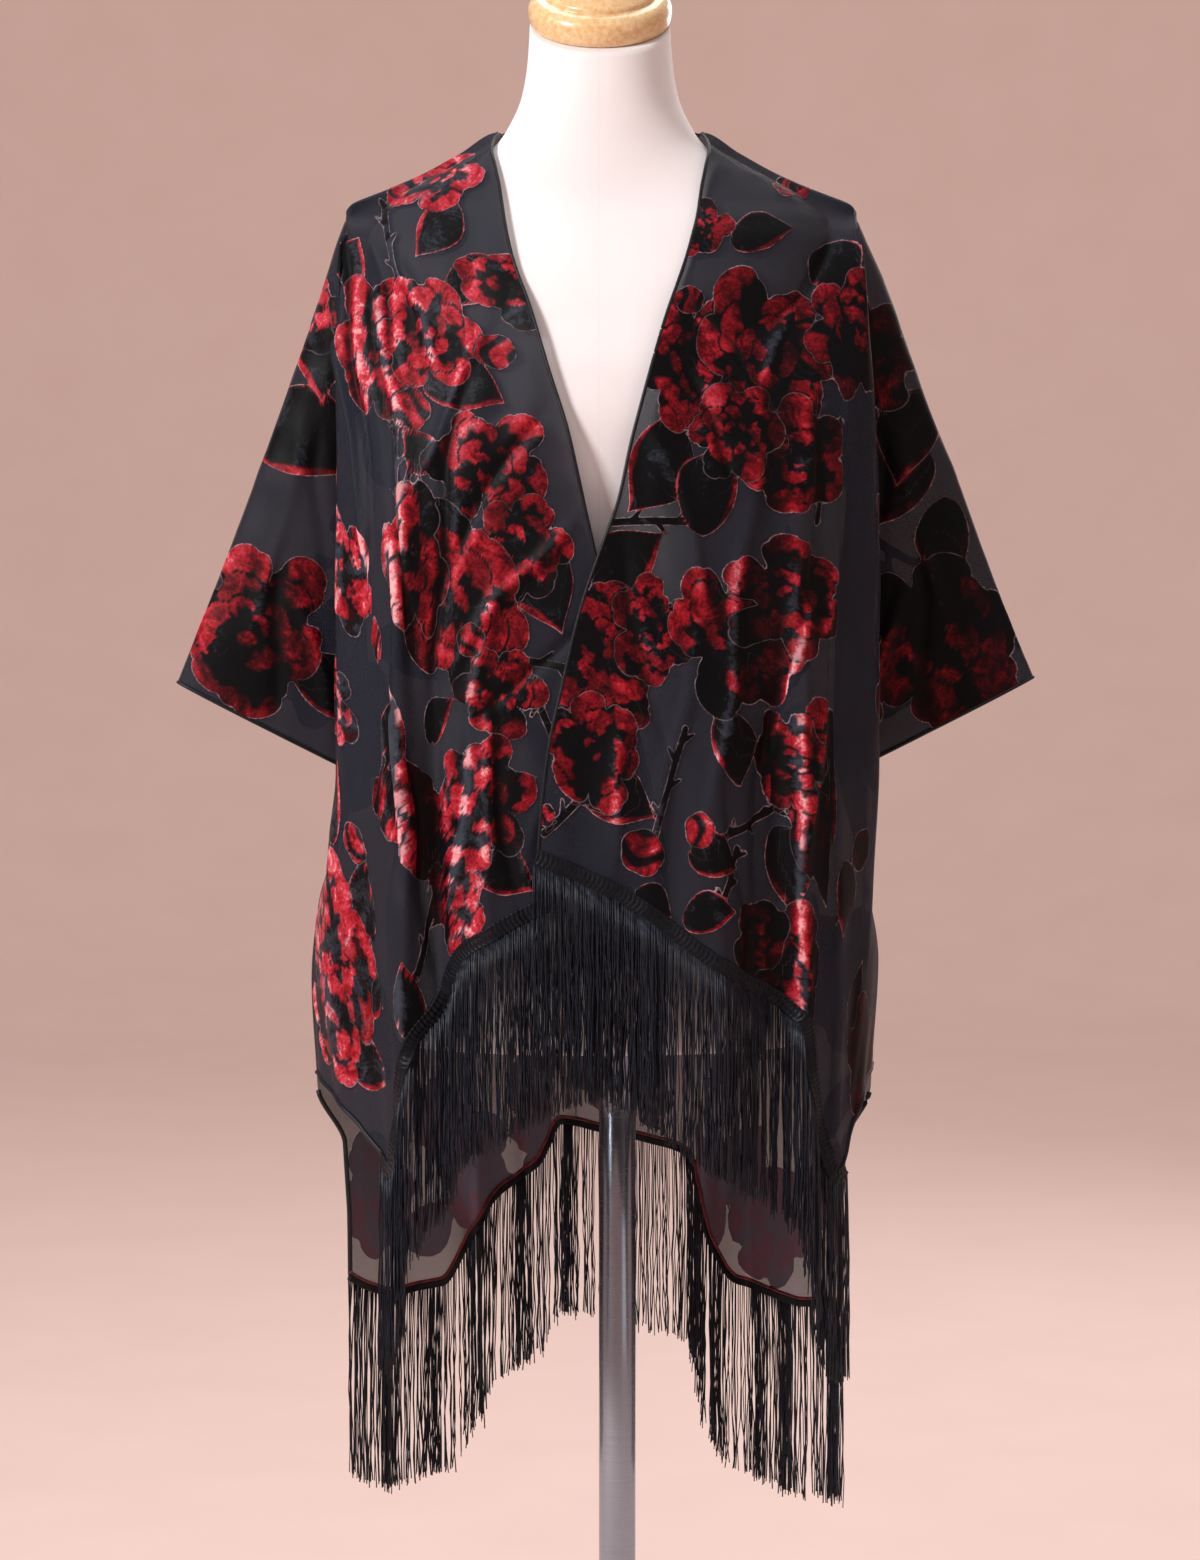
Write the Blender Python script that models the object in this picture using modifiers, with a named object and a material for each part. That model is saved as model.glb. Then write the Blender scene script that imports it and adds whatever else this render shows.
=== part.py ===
"""Open kimono cardigan of sheer patterned cloth with a fringed hem, worn on a limbless dress form.

Metres, +Z up, floor at z = 0, the open front faces -Y. Left and right are the wearer's.
Every width below is measured from the garment's centre plane and every depth from the shoulder line.
"""

import math

import bpy
import numpy as np

OBJECT_NAME = "kimono_cardigan_on_dress_form"

# The wall of the cloth, the space at a seam, and how far cloth stays off the form.
CLOTH = 0.0015
GAP = 0.0005
CLEARANCE = 0.0050
# At the shoulder the walls lean together underneath, so their edges start further from the seam's line.
SHOULDER_GAP = 0.0008
# How far a sleeve's first ring lies outside the panels' edges.
SLEEVE_GAP = 0.0013
# The pole stands a little to one side of the form's centre plane.
WEAR_X = -0.0135

POLE_RADIUS = 0.01435
FORM_BOTTOM = 0.698
BASE_TOP = 0.012
COLLAR_TOP = 0.046
SEAT = 0.0003
CAP_TILT = math.radians(28)
CAP_SEAT_Z = 1.4805

# Fringe: a braided header below the hem, and locks that hang from it.
HEADER_GAP = 0.0018
HEADER_DEPTH = 0.011
HEADER_WALL = 0.003
LOCK_STEP = 0.0068
LOCK_WIDTH = 0.0034
LOCK_WALL = 0.0018
LOCK_LENGTH = 0.154
LEAST_BETWEEN_LOCKS = 0.0046

# The form, a row per height: height, half width, depth to the front, depth to the back, tilt of the row.
FORM_ROWS = np.array([
    (0.698, 0.1560, 0.0960, 0.0900, 0.00),
    (0.704, 0.1590, 0.0990, 0.0930, 0.00),
    (0.740, 0.1640, 0.1040, 0.1000, 0.00),
    (0.790, 0.1660, 0.1080, 0.1060, 0.00),
    (0.840, 0.1600, 0.1080, 0.1040, 0.00),
    (0.900, 0.1430, 0.1020, 0.0940, 0.00),
    (0.960, 0.1280, 0.0970, 0.0840, 0.00),
    (1.000, 0.1240, 0.0970, 0.0800, 0.00),
    (1.050, 0.1310, 0.1040, 0.0840, 0.00),
    (1.100, 0.1450, 0.1160, 0.0900, 0.00),
    (1.140, 0.1550, 0.1240, 0.0940, 0.00),
    (1.170, 0.1610, 0.1265, 0.0970, 0.00),
    (1.210, 0.1650, 0.1200, 0.1000, 0.00),
    (1.250, 0.1720, 0.1060, 0.1010, 0.00),
    (1.285, 0.1790, 0.0920, 0.0980, 0.00),
    (1.308, 0.1800, 0.0800, 0.0900, 0.00),
    (1.326, 0.1730, 0.0680, 0.0790, 0.00),
    (1.341, 0.1560, 0.0580, 0.0680, 0.00),
    (1.356, 0.1310, 0.0520, 0.0600, 0.00),
    (1.372, 0.1020, 0.0490, 0.0560, 0.00),
    (1.387, 0.0800, 0.0485, 0.0545, 0.02),
    (1.403, 0.0690, 0.0490, 0.0535, 0.08),
    (1.424, 0.0600, 0.0500, 0.0525, 0.20),
    (1.450, 0.0555, 0.0510, 0.0515, 0.38),
    (1.480, 0.0535, 0.0520, 0.0520, 0.5317),
])
FORM_SIDES = 32
FORM_ROUNDNESS = 2.25

# The shoulder line: distance from the centre plane, height.
SHOULDER_LINE = np.array([
    (0.0000, 1.3930),
    (0.0790, 1.3970),
    (0.1070, 1.3815),
    (0.1380, 1.3640),
    (0.1690, 1.3490),
    (0.1900, 1.3400),
    (0.2000, 1.3350),
])
NECK_HALF_WIDTH = 0.079
NECK_BACK_DEPTH = 0.066

# Widths of the left front, a row per height: height, front edge, middle, outer fold, side seam.
LEFT_WIDTHS = np.array([
    (0.560, -0.0466, 0.073, 0.1960, 0.2060),
    (0.683, -0.0466, 0.073, 0.2010, 0.2118),
    (0.760, -0.0466, 0.073, 0.2060, 0.2161),
    (0.825, -0.0466, 0.073, 0.2085, 0.2050),
    (0.880, -0.0440, 0.075, 0.2108, 0.1900),
    (0.930, -0.0384, 0.077, 0.2118, 0.1810),
    (0.982, -0.0273, 0.082, 0.2115, 0.1820),
    (1.037, -0.0140, 0.090, 0.2112, 0.1850),
    (1.084, 0.0022, 0.099, 0.2108, 0.1880),
    (1.114, 0.0132, 0.105, 0.2102, 0.1900),
    (1.160, 0.0235, 0.110, 0.2085, 0.1920),
    (1.194, 0.0324, 0.115, 0.2070, 0.1930),
    (1.247, 0.0474, 0.122, 0.2030, 0.1945),
    (1.306, 0.0672, 0.132, 0.1990, 0.1960),
    (1.335, 0.0740, 0.135, 0.1930, 0.1965),
    (1.400, 0.0790, 0.135, 0.1850, 0.1970),
])
# The right front, in the same columns, measured towards the wearer's right.
RIGHT_WIDTHS = np.array([
    (0.560, -0.0520, 0.070, 0.1960, 0.2150),
    (0.672, -0.0520, 0.070, 0.2020, 0.2204),
    (0.744, -0.0520, 0.072, 0.2080, 0.2240),
    (0.807, -0.0520, 0.074, 0.2100, 0.2174),
    (0.848, -0.0490, 0.075, 0.2074, 0.2040),
    (0.915, -0.0350, 0.078, 0.2000, 0.1820),
    (0.969, -0.0221, 0.082, 0.1998, 0.1790),
    (1.037, -0.0055, 0.090, 0.1992, 0.1820),
    (1.083, 0.0052, 0.097, 0.1990, 0.1850),
    (1.127, 0.0147, 0.104, 0.1988, 0.1870),
    (1.166, 0.0235, 0.109, 0.1990, 0.1890),
    (1.211, 0.0376, 0.115, 0.1995, 0.1910),
    (1.259, 0.0519, 0.122, 0.1985, 0.1925),
    (1.298, 0.0657, 0.128, 0.1970, 0.1935),
    (1.335, 0.0730, 0.133, 0.1910, 0.1945),
    (1.400, 0.0790, 0.133, 0.1840, 0.1955),
])
# Depths of both fronts, towards the front: height, front edge, middle, outer fold.
FRONT_DEPTHS = np.array([
    (0.560, 0.1380, 0.122, 0.050),
    (0.720, 0.1400, 0.129, 0.046),
    (0.800, 0.1420, 0.134, 0.045),
    (0.860, 0.1420, 0.135, 0.050),
    (0.930, 0.1420, 0.135, 0.057),
    (1.000, 0.1410, 0.134, 0.058),
    (1.100, 0.1410, 0.132, 0.057),
    (1.200, 0.1400, 0.128, 0.053),
    (1.250, 0.1400, 0.124, 0.047),
    (1.300, 0.1400, 0.121, 0.035),
    (1.320, 0.1400, 0.120, 0.025),
    (1.335, 0.1400, 0.120, 0.009),
    (1.400, 0.1400, 0.120, 0.003),
])
# Depths of the back panel, towards the back: height, centre, middle, outer fold.
BACK_DEPTHS = np.array([
    (0.460, 0.1400, 0.118, 0.050),
    (0.600, 0.1380, 0.117, 0.050),
    (0.700, 0.1340, 0.115, 0.048),
    (0.800, 0.1300, 0.113, 0.046),
    (0.860, 0.1280, 0.112, 0.050),
    (0.930, 0.1260, 0.110, 0.056),
    (1.000, 0.1240, 0.109, 0.057),
    (1.100, 0.1220, 0.107, 0.056),
    (1.200, 0.1200, 0.105, 0.051),
    (1.250, 0.1180, 0.103, 0.046),
    (1.300, 0.1180, 0.102, 0.034),
    (1.320, 0.1180, 0.101, 0.024),
    (1.335, 0.1180, 0.100, 0.009),
    (1.400, 0.1180, 0.100, 0.003),
])
BACK_MIDDLE = 0.118
# Below the side slits the back panel hangs narrower, by this part of its width.
BACK_NARROWING = 0.085
FRONT_REACH = 0.27
BACK_REACH = 0.20

# The hem of the left front: distance from the centre plane, height. The last rows round the side slit.
LEFT_HEM = np.array([
    (-0.0480, 0.8580),
    (-0.0074, 0.8414),
    (0.0296, 0.8221),
    (0.0742, 0.7878),
    (0.1118, 0.7612),
    (0.1490, 0.7350),
    (0.1590, 0.7226),
    (0.1630, 0.6803),
    (0.1710, 0.6483),
    (0.1838, 0.6090),
    (0.1900, 0.6190),
    (0.1980, 0.6480),
    (0.2060, 0.6680),
    (0.2150, 0.6830),
])
RIGHT_HEM = np.array([
    (-0.0520, 0.8440),
    (0.0000, 0.8352),
    (0.0511, 0.8143),
    (0.0839, 0.7952),
    (0.1026, 0.7800),
    (0.1213, 0.7408),
    (0.1450, 0.7110),
    (0.1530, 0.6885),
    (0.1580, 0.6500),
    (0.1640, 0.6150),
    (0.1740, 0.6260),
    (0.1893, 0.6430),
    (0.2068, 0.6580),
    (0.2210, 0.6721),
])
LEFT_CORNER = 0.1838
RIGHT_CORNER = 0.1640
# The hem of the back panel, from the wearer's right to the left.
BACK_HEM = np.array([
    (-0.2060, 0.5180),
    (-0.1834, 0.4950),
    (-0.1605, 0.4828),
    (-0.1293, 0.4845),
    (-0.1054, 0.5249),
    (-0.0813, 0.5576),
    (-0.0529, 0.5773),
    (-0.0326, 0.6150),
    (0.0000, 0.6061),
    (0.0408, 0.5978),
    (0.0700, 0.5904),
    (0.0911, 0.5165),
    (0.1136, 0.4831),
    (0.1566, 0.4763),
    (0.1829, 0.4823),
    (0.1980, 0.4950),
])

# Largest folds: place at the top and at the hem, height where it starts, height where it is full,
# half width, how far it stands out (a trough is negative).
LEFT_FOLDS = np.array([
    (0.1480, 0.1600, 1.160, 0.980, 0.0130, 0.0180),
    (0.1800, 0.1800, 0.980, 0.860, 0.0090, 0.0120),
    (0.1250, 0.1300, 1.080, 0.900, 0.0150, -0.0090),
    (0.0950, 0.0850, 1.000, 0.860, 0.0160, 0.0070),
])
RIGHT_FOLDS = np.array([
    (0.1470, 0.1500, 1.240, 1.020, 0.0130, 0.0190),
    (0.1220, 0.1180, 1.020, 0.860, 0.0130, -0.0130),
    (0.0850, 0.0820, 1.060, 0.880, 0.0150, 0.0080),
])
BACK_FOLDS = np.array([
    (-0.1600, -0.1500, 1.100, 0.700, 0.0200, 0.0120),
    (-0.1100, -0.1000, 1.060, 0.640, 0.0150, -0.0190),
    (-0.0600, -0.0620, 1.150, 0.680, 0.0140, 0.0130),
    (-0.0300, -0.0300, 0.960, 0.680, 0.0110, -0.0120),
    (0.0200, 0.0120, 1.100, 0.640, 0.0200, 0.0110),
    (0.0600, 0.0830, 1.060, 0.640, 0.0150, -0.0210),
    (0.1100, 0.1220, 1.100, 0.680, 0.0170, 0.0140),
    (0.1500, 0.1580, 0.980, 0.640, 0.0110, -0.0090),
])
# The two fronts lie apart where they lap, below this height.
LAP_TOP = 1.165
LAP_FULL = 1.105
LAP_HALF = 0.0052
LAP_WIDTH = 0.085
LAP_FADE = 0.045

# Armhole: top, bottom and half opening.
ARMHOLE_TOP = 1.333
ARMHOLE_BOTTOM = 1.100
ARMHOLE_HALF = 0.034
SEAM_END = 0.66

# Sleeve, a row per ring: part of the way, upper fold x and z, lower edge x and z, half thickness.
LEFT_SLEEVE = np.array([
    (0.000, 0.2010, 1.3290, 0.1955, 1.1030, 0.0315),
    (0.060, 0.2070, 1.3130, 0.1970, 1.0920, 0.0310),
    (0.150, 0.2159, 1.2900, 0.1980, 1.0720, 0.0300),
    (0.300, 0.2340, 1.2407, 0.1970, 1.0380, 0.0280),
    (0.450, 0.2520, 1.1900, 0.1950, 1.0080, 0.0250),
    (0.600, 0.2745, 1.1350, 0.1945, 0.9780, 0.0215),
    (0.750, 0.2965, 1.0750, 0.1940, 0.9480, 0.0180),
    (0.900, 0.3200, 1.0150, 0.1935, 0.9200, 0.0150),
    (1.000, 0.3350, 0.9800, 0.1930, 0.9070, 0.0140),
])
RIGHT_SLEEVE = np.array([
    (0.000, 0.1990, 1.3290, 0.1920, 1.1030, 0.0315),
    (0.060, 0.2040, 1.3130, 0.1925, 1.0910, 0.0310),
    (0.150, 0.2110, 1.2850, 0.1900, 1.0700, 0.0300),
    (0.300, 0.2280, 1.2340, 0.1900, 1.0380, 0.0280),
    (0.450, 0.2460, 1.1840, 0.1900, 1.0080, 0.0250),
    (0.600, 0.2660, 1.1300, 0.1895, 0.9780, 0.0215),
    (0.750, 0.2880, 1.0720, 0.1890, 0.9480, 0.0180),
    (0.900, 0.3120, 1.0120, 0.1885, 0.9180, 0.0150),
    (1.000, 0.3265, 0.9760, 0.1880, 0.9050, 0.0140),
])
SLEEVE_SIDES = 20

# Where the columns and rows of the panels lie, 0 at the front edge or the shoulder, 1 at the seam or the hem.
FRONT_KNOTS = np.array([0.0, 0.44, 0.84, 1.0])
BACK_KNOTS = np.array([0.0, 0.085, 0.235, 0.5, 0.765, 0.915, 1.0])
FRONT_COLUMNS = np.array([
    0.0, 0.05, 0.11, 0.18, 0.25, 0.32, 0.39, 0.45, 0.50, 0.545, 0.59,
    0.63, 0.67, 0.71, 0.75, 0.79, 0.83, 0.87, 0.91, 0.955, 1.0,
])
BACK_COLUMNS = np.array([
    0.0, 0.025, 0.05, 0.075, 0.10, 0.13, 0.16, 0.19, 0.22, 0.25, 0.28, 0.31, 0.34, 0.37, 0.40, 0.43, 0.465,
    0.50, 0.535, 0.57, 0.60, 0.63, 0.66, 0.69, 0.72, 0.75, 0.78, 0.81, 0.84, 0.87, 0.90, 0.925, 0.95, 0.975, 1.0,
])
PANEL_ROWS = np.array([
    0.0, 0.010, 0.026, 0.048, 0.076, 0.11, 0.15, 0.195, 0.245, 0.30, 0.36,
    0.42, 0.485, 0.55, 0.615, 0.68, 0.745, 0.81, 0.875, 0.94, 1.0,
])


def slopes(knots, values):
    """Slopes of a smooth curve through the values that never swings past them."""
    shape = (-1,) + (1,) * (values.ndim - 1)
    width = np.diff(knots).reshape(shape)
    rise = np.diff(values, axis=0) / width
    first = 2 * width[1:] + width[:-1]
    second = width[1:] + 2 * width[:-1]
    before = rise[:-1]
    after = rise[1:]
    same = before * after > 0
    safe_before = np.where(same, before, 1.0)
    safe_after = np.where(same, after, 1.0)
    inner = np.where(same, (first + second) / (first / safe_before + second / safe_after), 0.0)
    return np.concatenate([rise[:1], inner, rise[-1:]])


def across(knots, values, at):
    """The smooth curve through values[k] at knots[k], read at the places given."""
    tangent = slopes(knots, values)
    result = np.zeros(np.broadcast(at, values[0]).shape)
    for k in range(len(knots) - 1):
        width = knots[k + 1] - knots[k]
        u = np.clip((at - knots[k]) / width, 0.0, 1.0)
        piece = (
            (2 * u**3 - 3 * u**2 + 1) * values[k]
            + (u**3 - 2 * u**2 + u) * width * tangent[k]
            + (3 * u**2 - 2 * u**3) * values[k + 1]
            + (u**3 - u**2) * width * tangent[k + 1]
        )
        result = np.where((at >= knots[k]) | (k == 0), piece, result)
    return result


def read(table, column, at):
    """One column of a table, read smoothly at the places given in its first column."""
    at = np.clip(at, table[0, 0], table[-1, 0])
    values = table[:, column].reshape((-1,) + (1,) * np.ndim(at))
    return across(table[:, 0], values, at)


def soft_step(low, high, at):
    """0 below low, 1 above high, smooth between."""
    u = np.clip((at - low) / (high - low), 0.0, 1.0)
    return u * u * (3 - 2 * u)


def form_ratio(points):
    """How far out of the form's section each point lies, 1 on the surface itself."""
    x, y, z = np.moveaxis(points, -1, 0)
    z = z + np.where(z > FORM_ROWS[-1, 0], 1.0, 0.0) * 0.0
    half = read(FORM_ROWS, 1, z)
    depth = np.where(y < 0, read(FORM_ROWS, 2, z), read(FORM_ROWS, 3, z))
    power = FORM_ROUNDNESS
    return ((np.abs(x) / half) ** power + (np.abs(y) / depth) ** power) ** (1 / power) - 1


def off_the_form(points, clearance=CLEARANCE):
    """Moves points that lie on or in the form out along its surface's slope until they clear it."""
    step = 1e-4
    for _ in range(8):
        ratio = form_ratio(points)
        slope = np.stack([
            (form_ratio(points + step * axis) - form_ratio(points - step * axis)) / (2 * step)
            for axis in np.eye(3)
        ], axis=-1)
        length = np.maximum(np.linalg.norm(slope, axis=-1), 1e-6)
        short = np.clip(clearance - ratio / length, 0.0, 0.01)
        points = points + (short / length)[..., None] * slope
    return points


def folds(table, x, z):
    """How far the largest folds stand out at each place."""
    out = np.zeros(np.broadcast(x, z).shape)
    for top_x, hem_x, start, full, half, rise in table:
        down = soft_step(-start, -full, -z)
        along = np.clip((start - z) / (start - 0.6), 0.0, 1.0)
        centre = top_x + (hem_x - top_x) * along
        out = out + rise * down * np.exp(-(((x - centre) / half) ** 2))
    return out


def armhole(z):
    """Half the armhole's opening at each height."""
    up = (z - ARMHOLE_BOTTOM) / (ARMHOLE_TOP - ARMHOLE_BOTTOM)
    return ARMHOLE_HALF * narrowing(up) * np.sqrt(np.clip(1 - (2 * up - 1) ** 2, 0.0, 1.0))


def narrowing(up):
    """How much wider an armhole or a sleeve is at its top than at its lower edge."""
    return 0.40 + 0.60 * np.clip(up, 0.0, 1.0)


def reach(drop, full):
    """Part of the full depth that cloth has reached this far below the shoulder line."""
    u = np.clip(drop / full, 0.0, 1.0)
    return 1 - (1 - u) ** 2


def front_panel(side, widths, hem, fold_table, columns, rows):
    """Points of a front, a row per height. Side is 1 for the wearer's left and -1 for the right."""
    s, t = np.meshgrid(columns, rows)

    def width_at(z):
        controls = np.stack([read(widths, k, z) for k in (1, 2, 3, 4)])
        return across(FRONT_KNOTS, controls, s)

    top_x = width_at(np.full(s.shape, 1.400))
    top_z = read(SHOULDER_LINE, 1, top_x)
    hem_z = read(hem, 1, width_at(np.full(s.shape, 0.70)))
    z = top_z + (hem_z - top_z) * t
    x = width_at(z)
    part = reach(top_z - z, FRONT_REACH)
    seam = armhole(z) + GAP
    controls = np.stack([
        read(FRONT_DEPTHS, 1, z) * part + GAP,
        read(FRONT_DEPTHS, 2, z) * part + GAP,
        read(FRONT_DEPTHS, 3, z) + GAP,
        seam,
    ])
    depth = across(FRONT_KNOTS, controls, s)
    depth = np.where(t == 0, SHOULDER_GAP, depth)
    depth = depth + folds(fold_table, x, z) * soft_step(0.0, 0.04, top_z - z)
    lap = LAP_HALF * soft_step(-LAP_TOP, -LAP_FULL, -z) * (1 - soft_step(LAP_WIDTH, LAP_WIDTH + LAP_FADE, x))
    depth = depth + side * lap
    points = np.stack([side * x, -depth, z], axis=-1)
    return kept_at_seams(points, s, t)


def kept_at_seams(points, s, t):
    """Clears the form, but holds the seams' own places, which are clear of it already."""
    clear = off_the_form(points)
    held = (t == 0)[..., None] & (np.abs(points[..., 0:1]) > NECK_HALF_WIDTH + 0.002)
    lifted = points.copy()
    lifted[..., 2] = np.maximum(points[..., 2], clear[..., 2])
    clear = np.where(held, lifted, clear)
    return clear + np.array([WEAR_X, 0.0, 0.0])


def back_panel(columns, rows):
    """Points of the back, from the wearer's right seam to the left."""
    s, t = np.meshgrid(columns, rows)

    def width_at(z):
        middle = np.full(z.shape, BACK_MIDDLE)
        narrow = 1 - BACK_NARROWING * soft_step(-SEAM_END, -0.615, -z)
        controls = np.stack([
            -read(RIGHT_WIDTHS, 4, z) * narrow,
            -read(RIGHT_WIDTHS, 3, z) * narrow,
            -middle,
            0 * middle,
            middle,
            read(LEFT_WIDTHS, 3, z) * narrow,
            read(LEFT_WIDTHS, 4, z) * narrow,
        ])
        return across(BACK_KNOTS, controls, s)

    top_x = width_at(np.full(s.shape, 1.400))
    top_z = read(SHOULDER_LINE, 1, np.abs(top_x))
    hem_z = read(BACK_HEM, 1, width_at(np.full(s.shape, 0.56)))
    z = top_z + (hem_z - top_z) * t
    x = width_at(z)
    neck = np.sqrt(np.clip(1 - (top_x / NECK_HALF_WIDTH) ** 2, 0.0, 1.0)) * NECK_BACK_DEPTH
    part = reach(top_z - z, BACK_REACH)
    seam = armhole(z) + GAP + 0.022 * soft_step(-SEAM_END, -0.50, -z)
    fold = read(BACK_DEPTHS, 3, z) + GAP
    middle = read(BACK_DEPTHS, 2, z) * part + GAP
    centre = np.maximum(neck, 0.0) + (read(BACK_DEPTHS, 1, z) - neck) * part + GAP
    centre = np.maximum(centre, middle)
    depth = across(BACK_KNOTS, np.stack([seam, fold, middle, centre, middle, fold, seam]), s)
    depth = np.where(t == 0, SHOULDER_GAP + neck, depth)
    depth = depth + folds(BACK_FOLDS, x, z) * soft_step(0.0, 0.04, top_z - z)
    points = np.stack([x, depth, z], axis=-1)
    return kept_at_seams(points, s, t)


def sleeve_rings(side, table, parts, angles, front_edge, back_edge):
    """Points of a sleeve, a ring per part of the way from the armhole to the cuff.

    The first ring is drawn to just inside the edges of the front and the back at the armhole.
    """
    u, angle = np.meshgrid(parts, angles, indexing="ij")
    top_x, top_z, low_x, low_z, half = (read(table, k, u) for k in (1, 2, 3, 4, 5))
    along = (1 + np.cos(angle)) / 2
    x = low_x + (top_x - low_x) * along
    z = low_z + (top_z - low_z) * along
    y = -half * narrowing(along) * np.sin(angle)
    rings = np.stack([side * x + WEAR_X, y, z], axis=-1)
    root = rings[0]
    seated = root.copy()
    for edge, half_round in ((front_edge, root[:, 1] < 0), (back_edge, root[:, 1] >= 0)):
        heights = edge[::-1, 2]
        edge_x = np.interp(root[:, 2], heights, edge[::-1, 0])
        edge_y = np.interp(root[:, 2], heights, edge[::-1, 1])
        inset = np.sign(edge_y) * np.minimum(np.abs(edge_y), CLOTH / 2 + GAP)
        seated[half_round, 0] = edge_x[half_round] + side * SLEEVE_GAP
        seated[half_round, 1] = (edge_y - inset)[half_round]
    drawn = np.clip(1 - u / 0.16, 0.0, 1.0)[..., None]
    return rings + (seated - root)[None] * drawn


def material(name, colour, roughness, metallic=0.0, sheen=0.0):
    """A plain finish with the colour given in linear light."""
    made = bpy.data.materials.new(name)
    made.use_nodes = True
    shader = made.node_tree.nodes["Principled BSDF"]
    shader.inputs["Base Color"].default_value = (*colour, 1.0)
    shader.inputs["Roughness"].default_value = roughness
    shader.inputs["Metallic"].default_value = metallic
    shader.inputs["Sheen Weight"].default_value = sheen
    made.diffuse_color = (*colour, 1.0)
    return made


def add_object(name, points, faces, finish, collection):
    """A mesh object from its points and faces, shaded smooth."""
    mesh = bpy.data.meshes.new(name)
    mesh.from_pydata(np.asarray(points).reshape(-1, 3).tolist(), [], faces)
    mesh.update()
    mesh.polygons.foreach_set("use_smooth", np.ones(len(mesh.polygons), dtype=bool))
    mesh.materials.append(finish)
    made = bpy.data.objects.new(name, mesh)
    collection.objects.link(made)
    return made


def add_shell(name, grid, closed_round, turned, finish, collection):
    """A cloth wall on a grid of points, with the grid's own points in the middle of the wall."""
    rows, columns = grid.shape[:2]
    faces = []
    last = columns if closed_round else columns - 1
    for i in range(rows - 1):
        for j in range(last):
            k = (j + 1) % columns
            quad = (i * columns + j, i * columns + k, (i + 1) * columns + k, (i + 1) * columns + j)
            faces.append(quad[::-1] if turned else quad)
    made = add_object(name, grid, faces, finish, collection)
    wall = made.modifiers.new("cloth_wall", "SOLIDIFY")
    wall.thickness = CLOTH
    wall.offset = 0.0
    return made


def add_turned(name, profile, steps, finish, collection):
    """A turned piece about its own upright axis. The profile runs from the top centre down to the bottom centre."""
    mesh = bpy.data.meshes.new(name)
    corners = [(radius, 0.0, z) for radius, z in profile]
    mesh.from_pydata(corners, [(k, k + 1) for k in range(len(corners) - 1)], [])
    mesh.materials.append(finish)
    made = bpy.data.objects.new(name, mesh)
    collection.objects.link(made)
    turn = made.modifiers.new("turned", "SCREW")
    turn.angle = math.tau
    turn.screw_offset = 0.0
    turn.axis = "Z"
    turn.steps = steps
    turn.render_steps = steps
    turn.use_merge_vertices = True
    turn.merge_threshold = 0.0001
    turn.use_smooth_shade = True
    turn.use_normal_calculate = True
    return made


def add_form(finish, collection):
    """The torso: a ring of points at each height of its table, closed at the neck and at the bottom."""
    heights = FORM_ROWS[:, 0]
    angles = np.linspace(0, math.tau, FORM_SIDES, endpoint=False)
    power = 2 / FORM_ROUNDNESS
    shape_x = np.sign(np.cos(angles)) * np.abs(np.cos(angles)) ** power
    shape_y = np.sign(np.sin(angles)) * np.abs(np.sin(angles)) ** power
    rings = []
    for height, half, front, back, tilt in FORM_ROWS:
        x = half * shape_x
        y = np.where(shape_y < 0, front, back) * shape_y
        rings.append(np.stack([x + WEAR_X, y, height + tilt * y], axis=-1))
    count = len(heights)
    faces = []
    for i in range(count - 1):
        for j in range(FORM_SIDES):
            k = (j + 1) % FORM_SIDES
            faces.append((
                i * FORM_SIDES + j, i * FORM_SIDES + k, (i + 1) * FORM_SIDES + k, (i + 1) * FORM_SIDES + j,
            ))
    faces.append(tuple(range(FORM_SIDES - 1, -1, -1)))
    top = (count - 1) * FORM_SIDES
    faces.append(tuple(range(top, top + FORM_SIDES)))
    return add_object("form_torso", np.concatenate(rings), faces, finish, collection)


def smoothed(values, passes):
    """Each value drawn towards its neighbours, the ends held."""
    values = values.copy()
    for _ in range(passes):
        values[1:-1] = (values[:-2] + 2 * values[1:-1] + values[2:]) / 4
    return values


def unit(vectors):
    """The same directions, one long."""
    return vectors / np.maximum(np.linalg.norm(vectors, axis=-1, keepdims=True), 1e-9)


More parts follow.
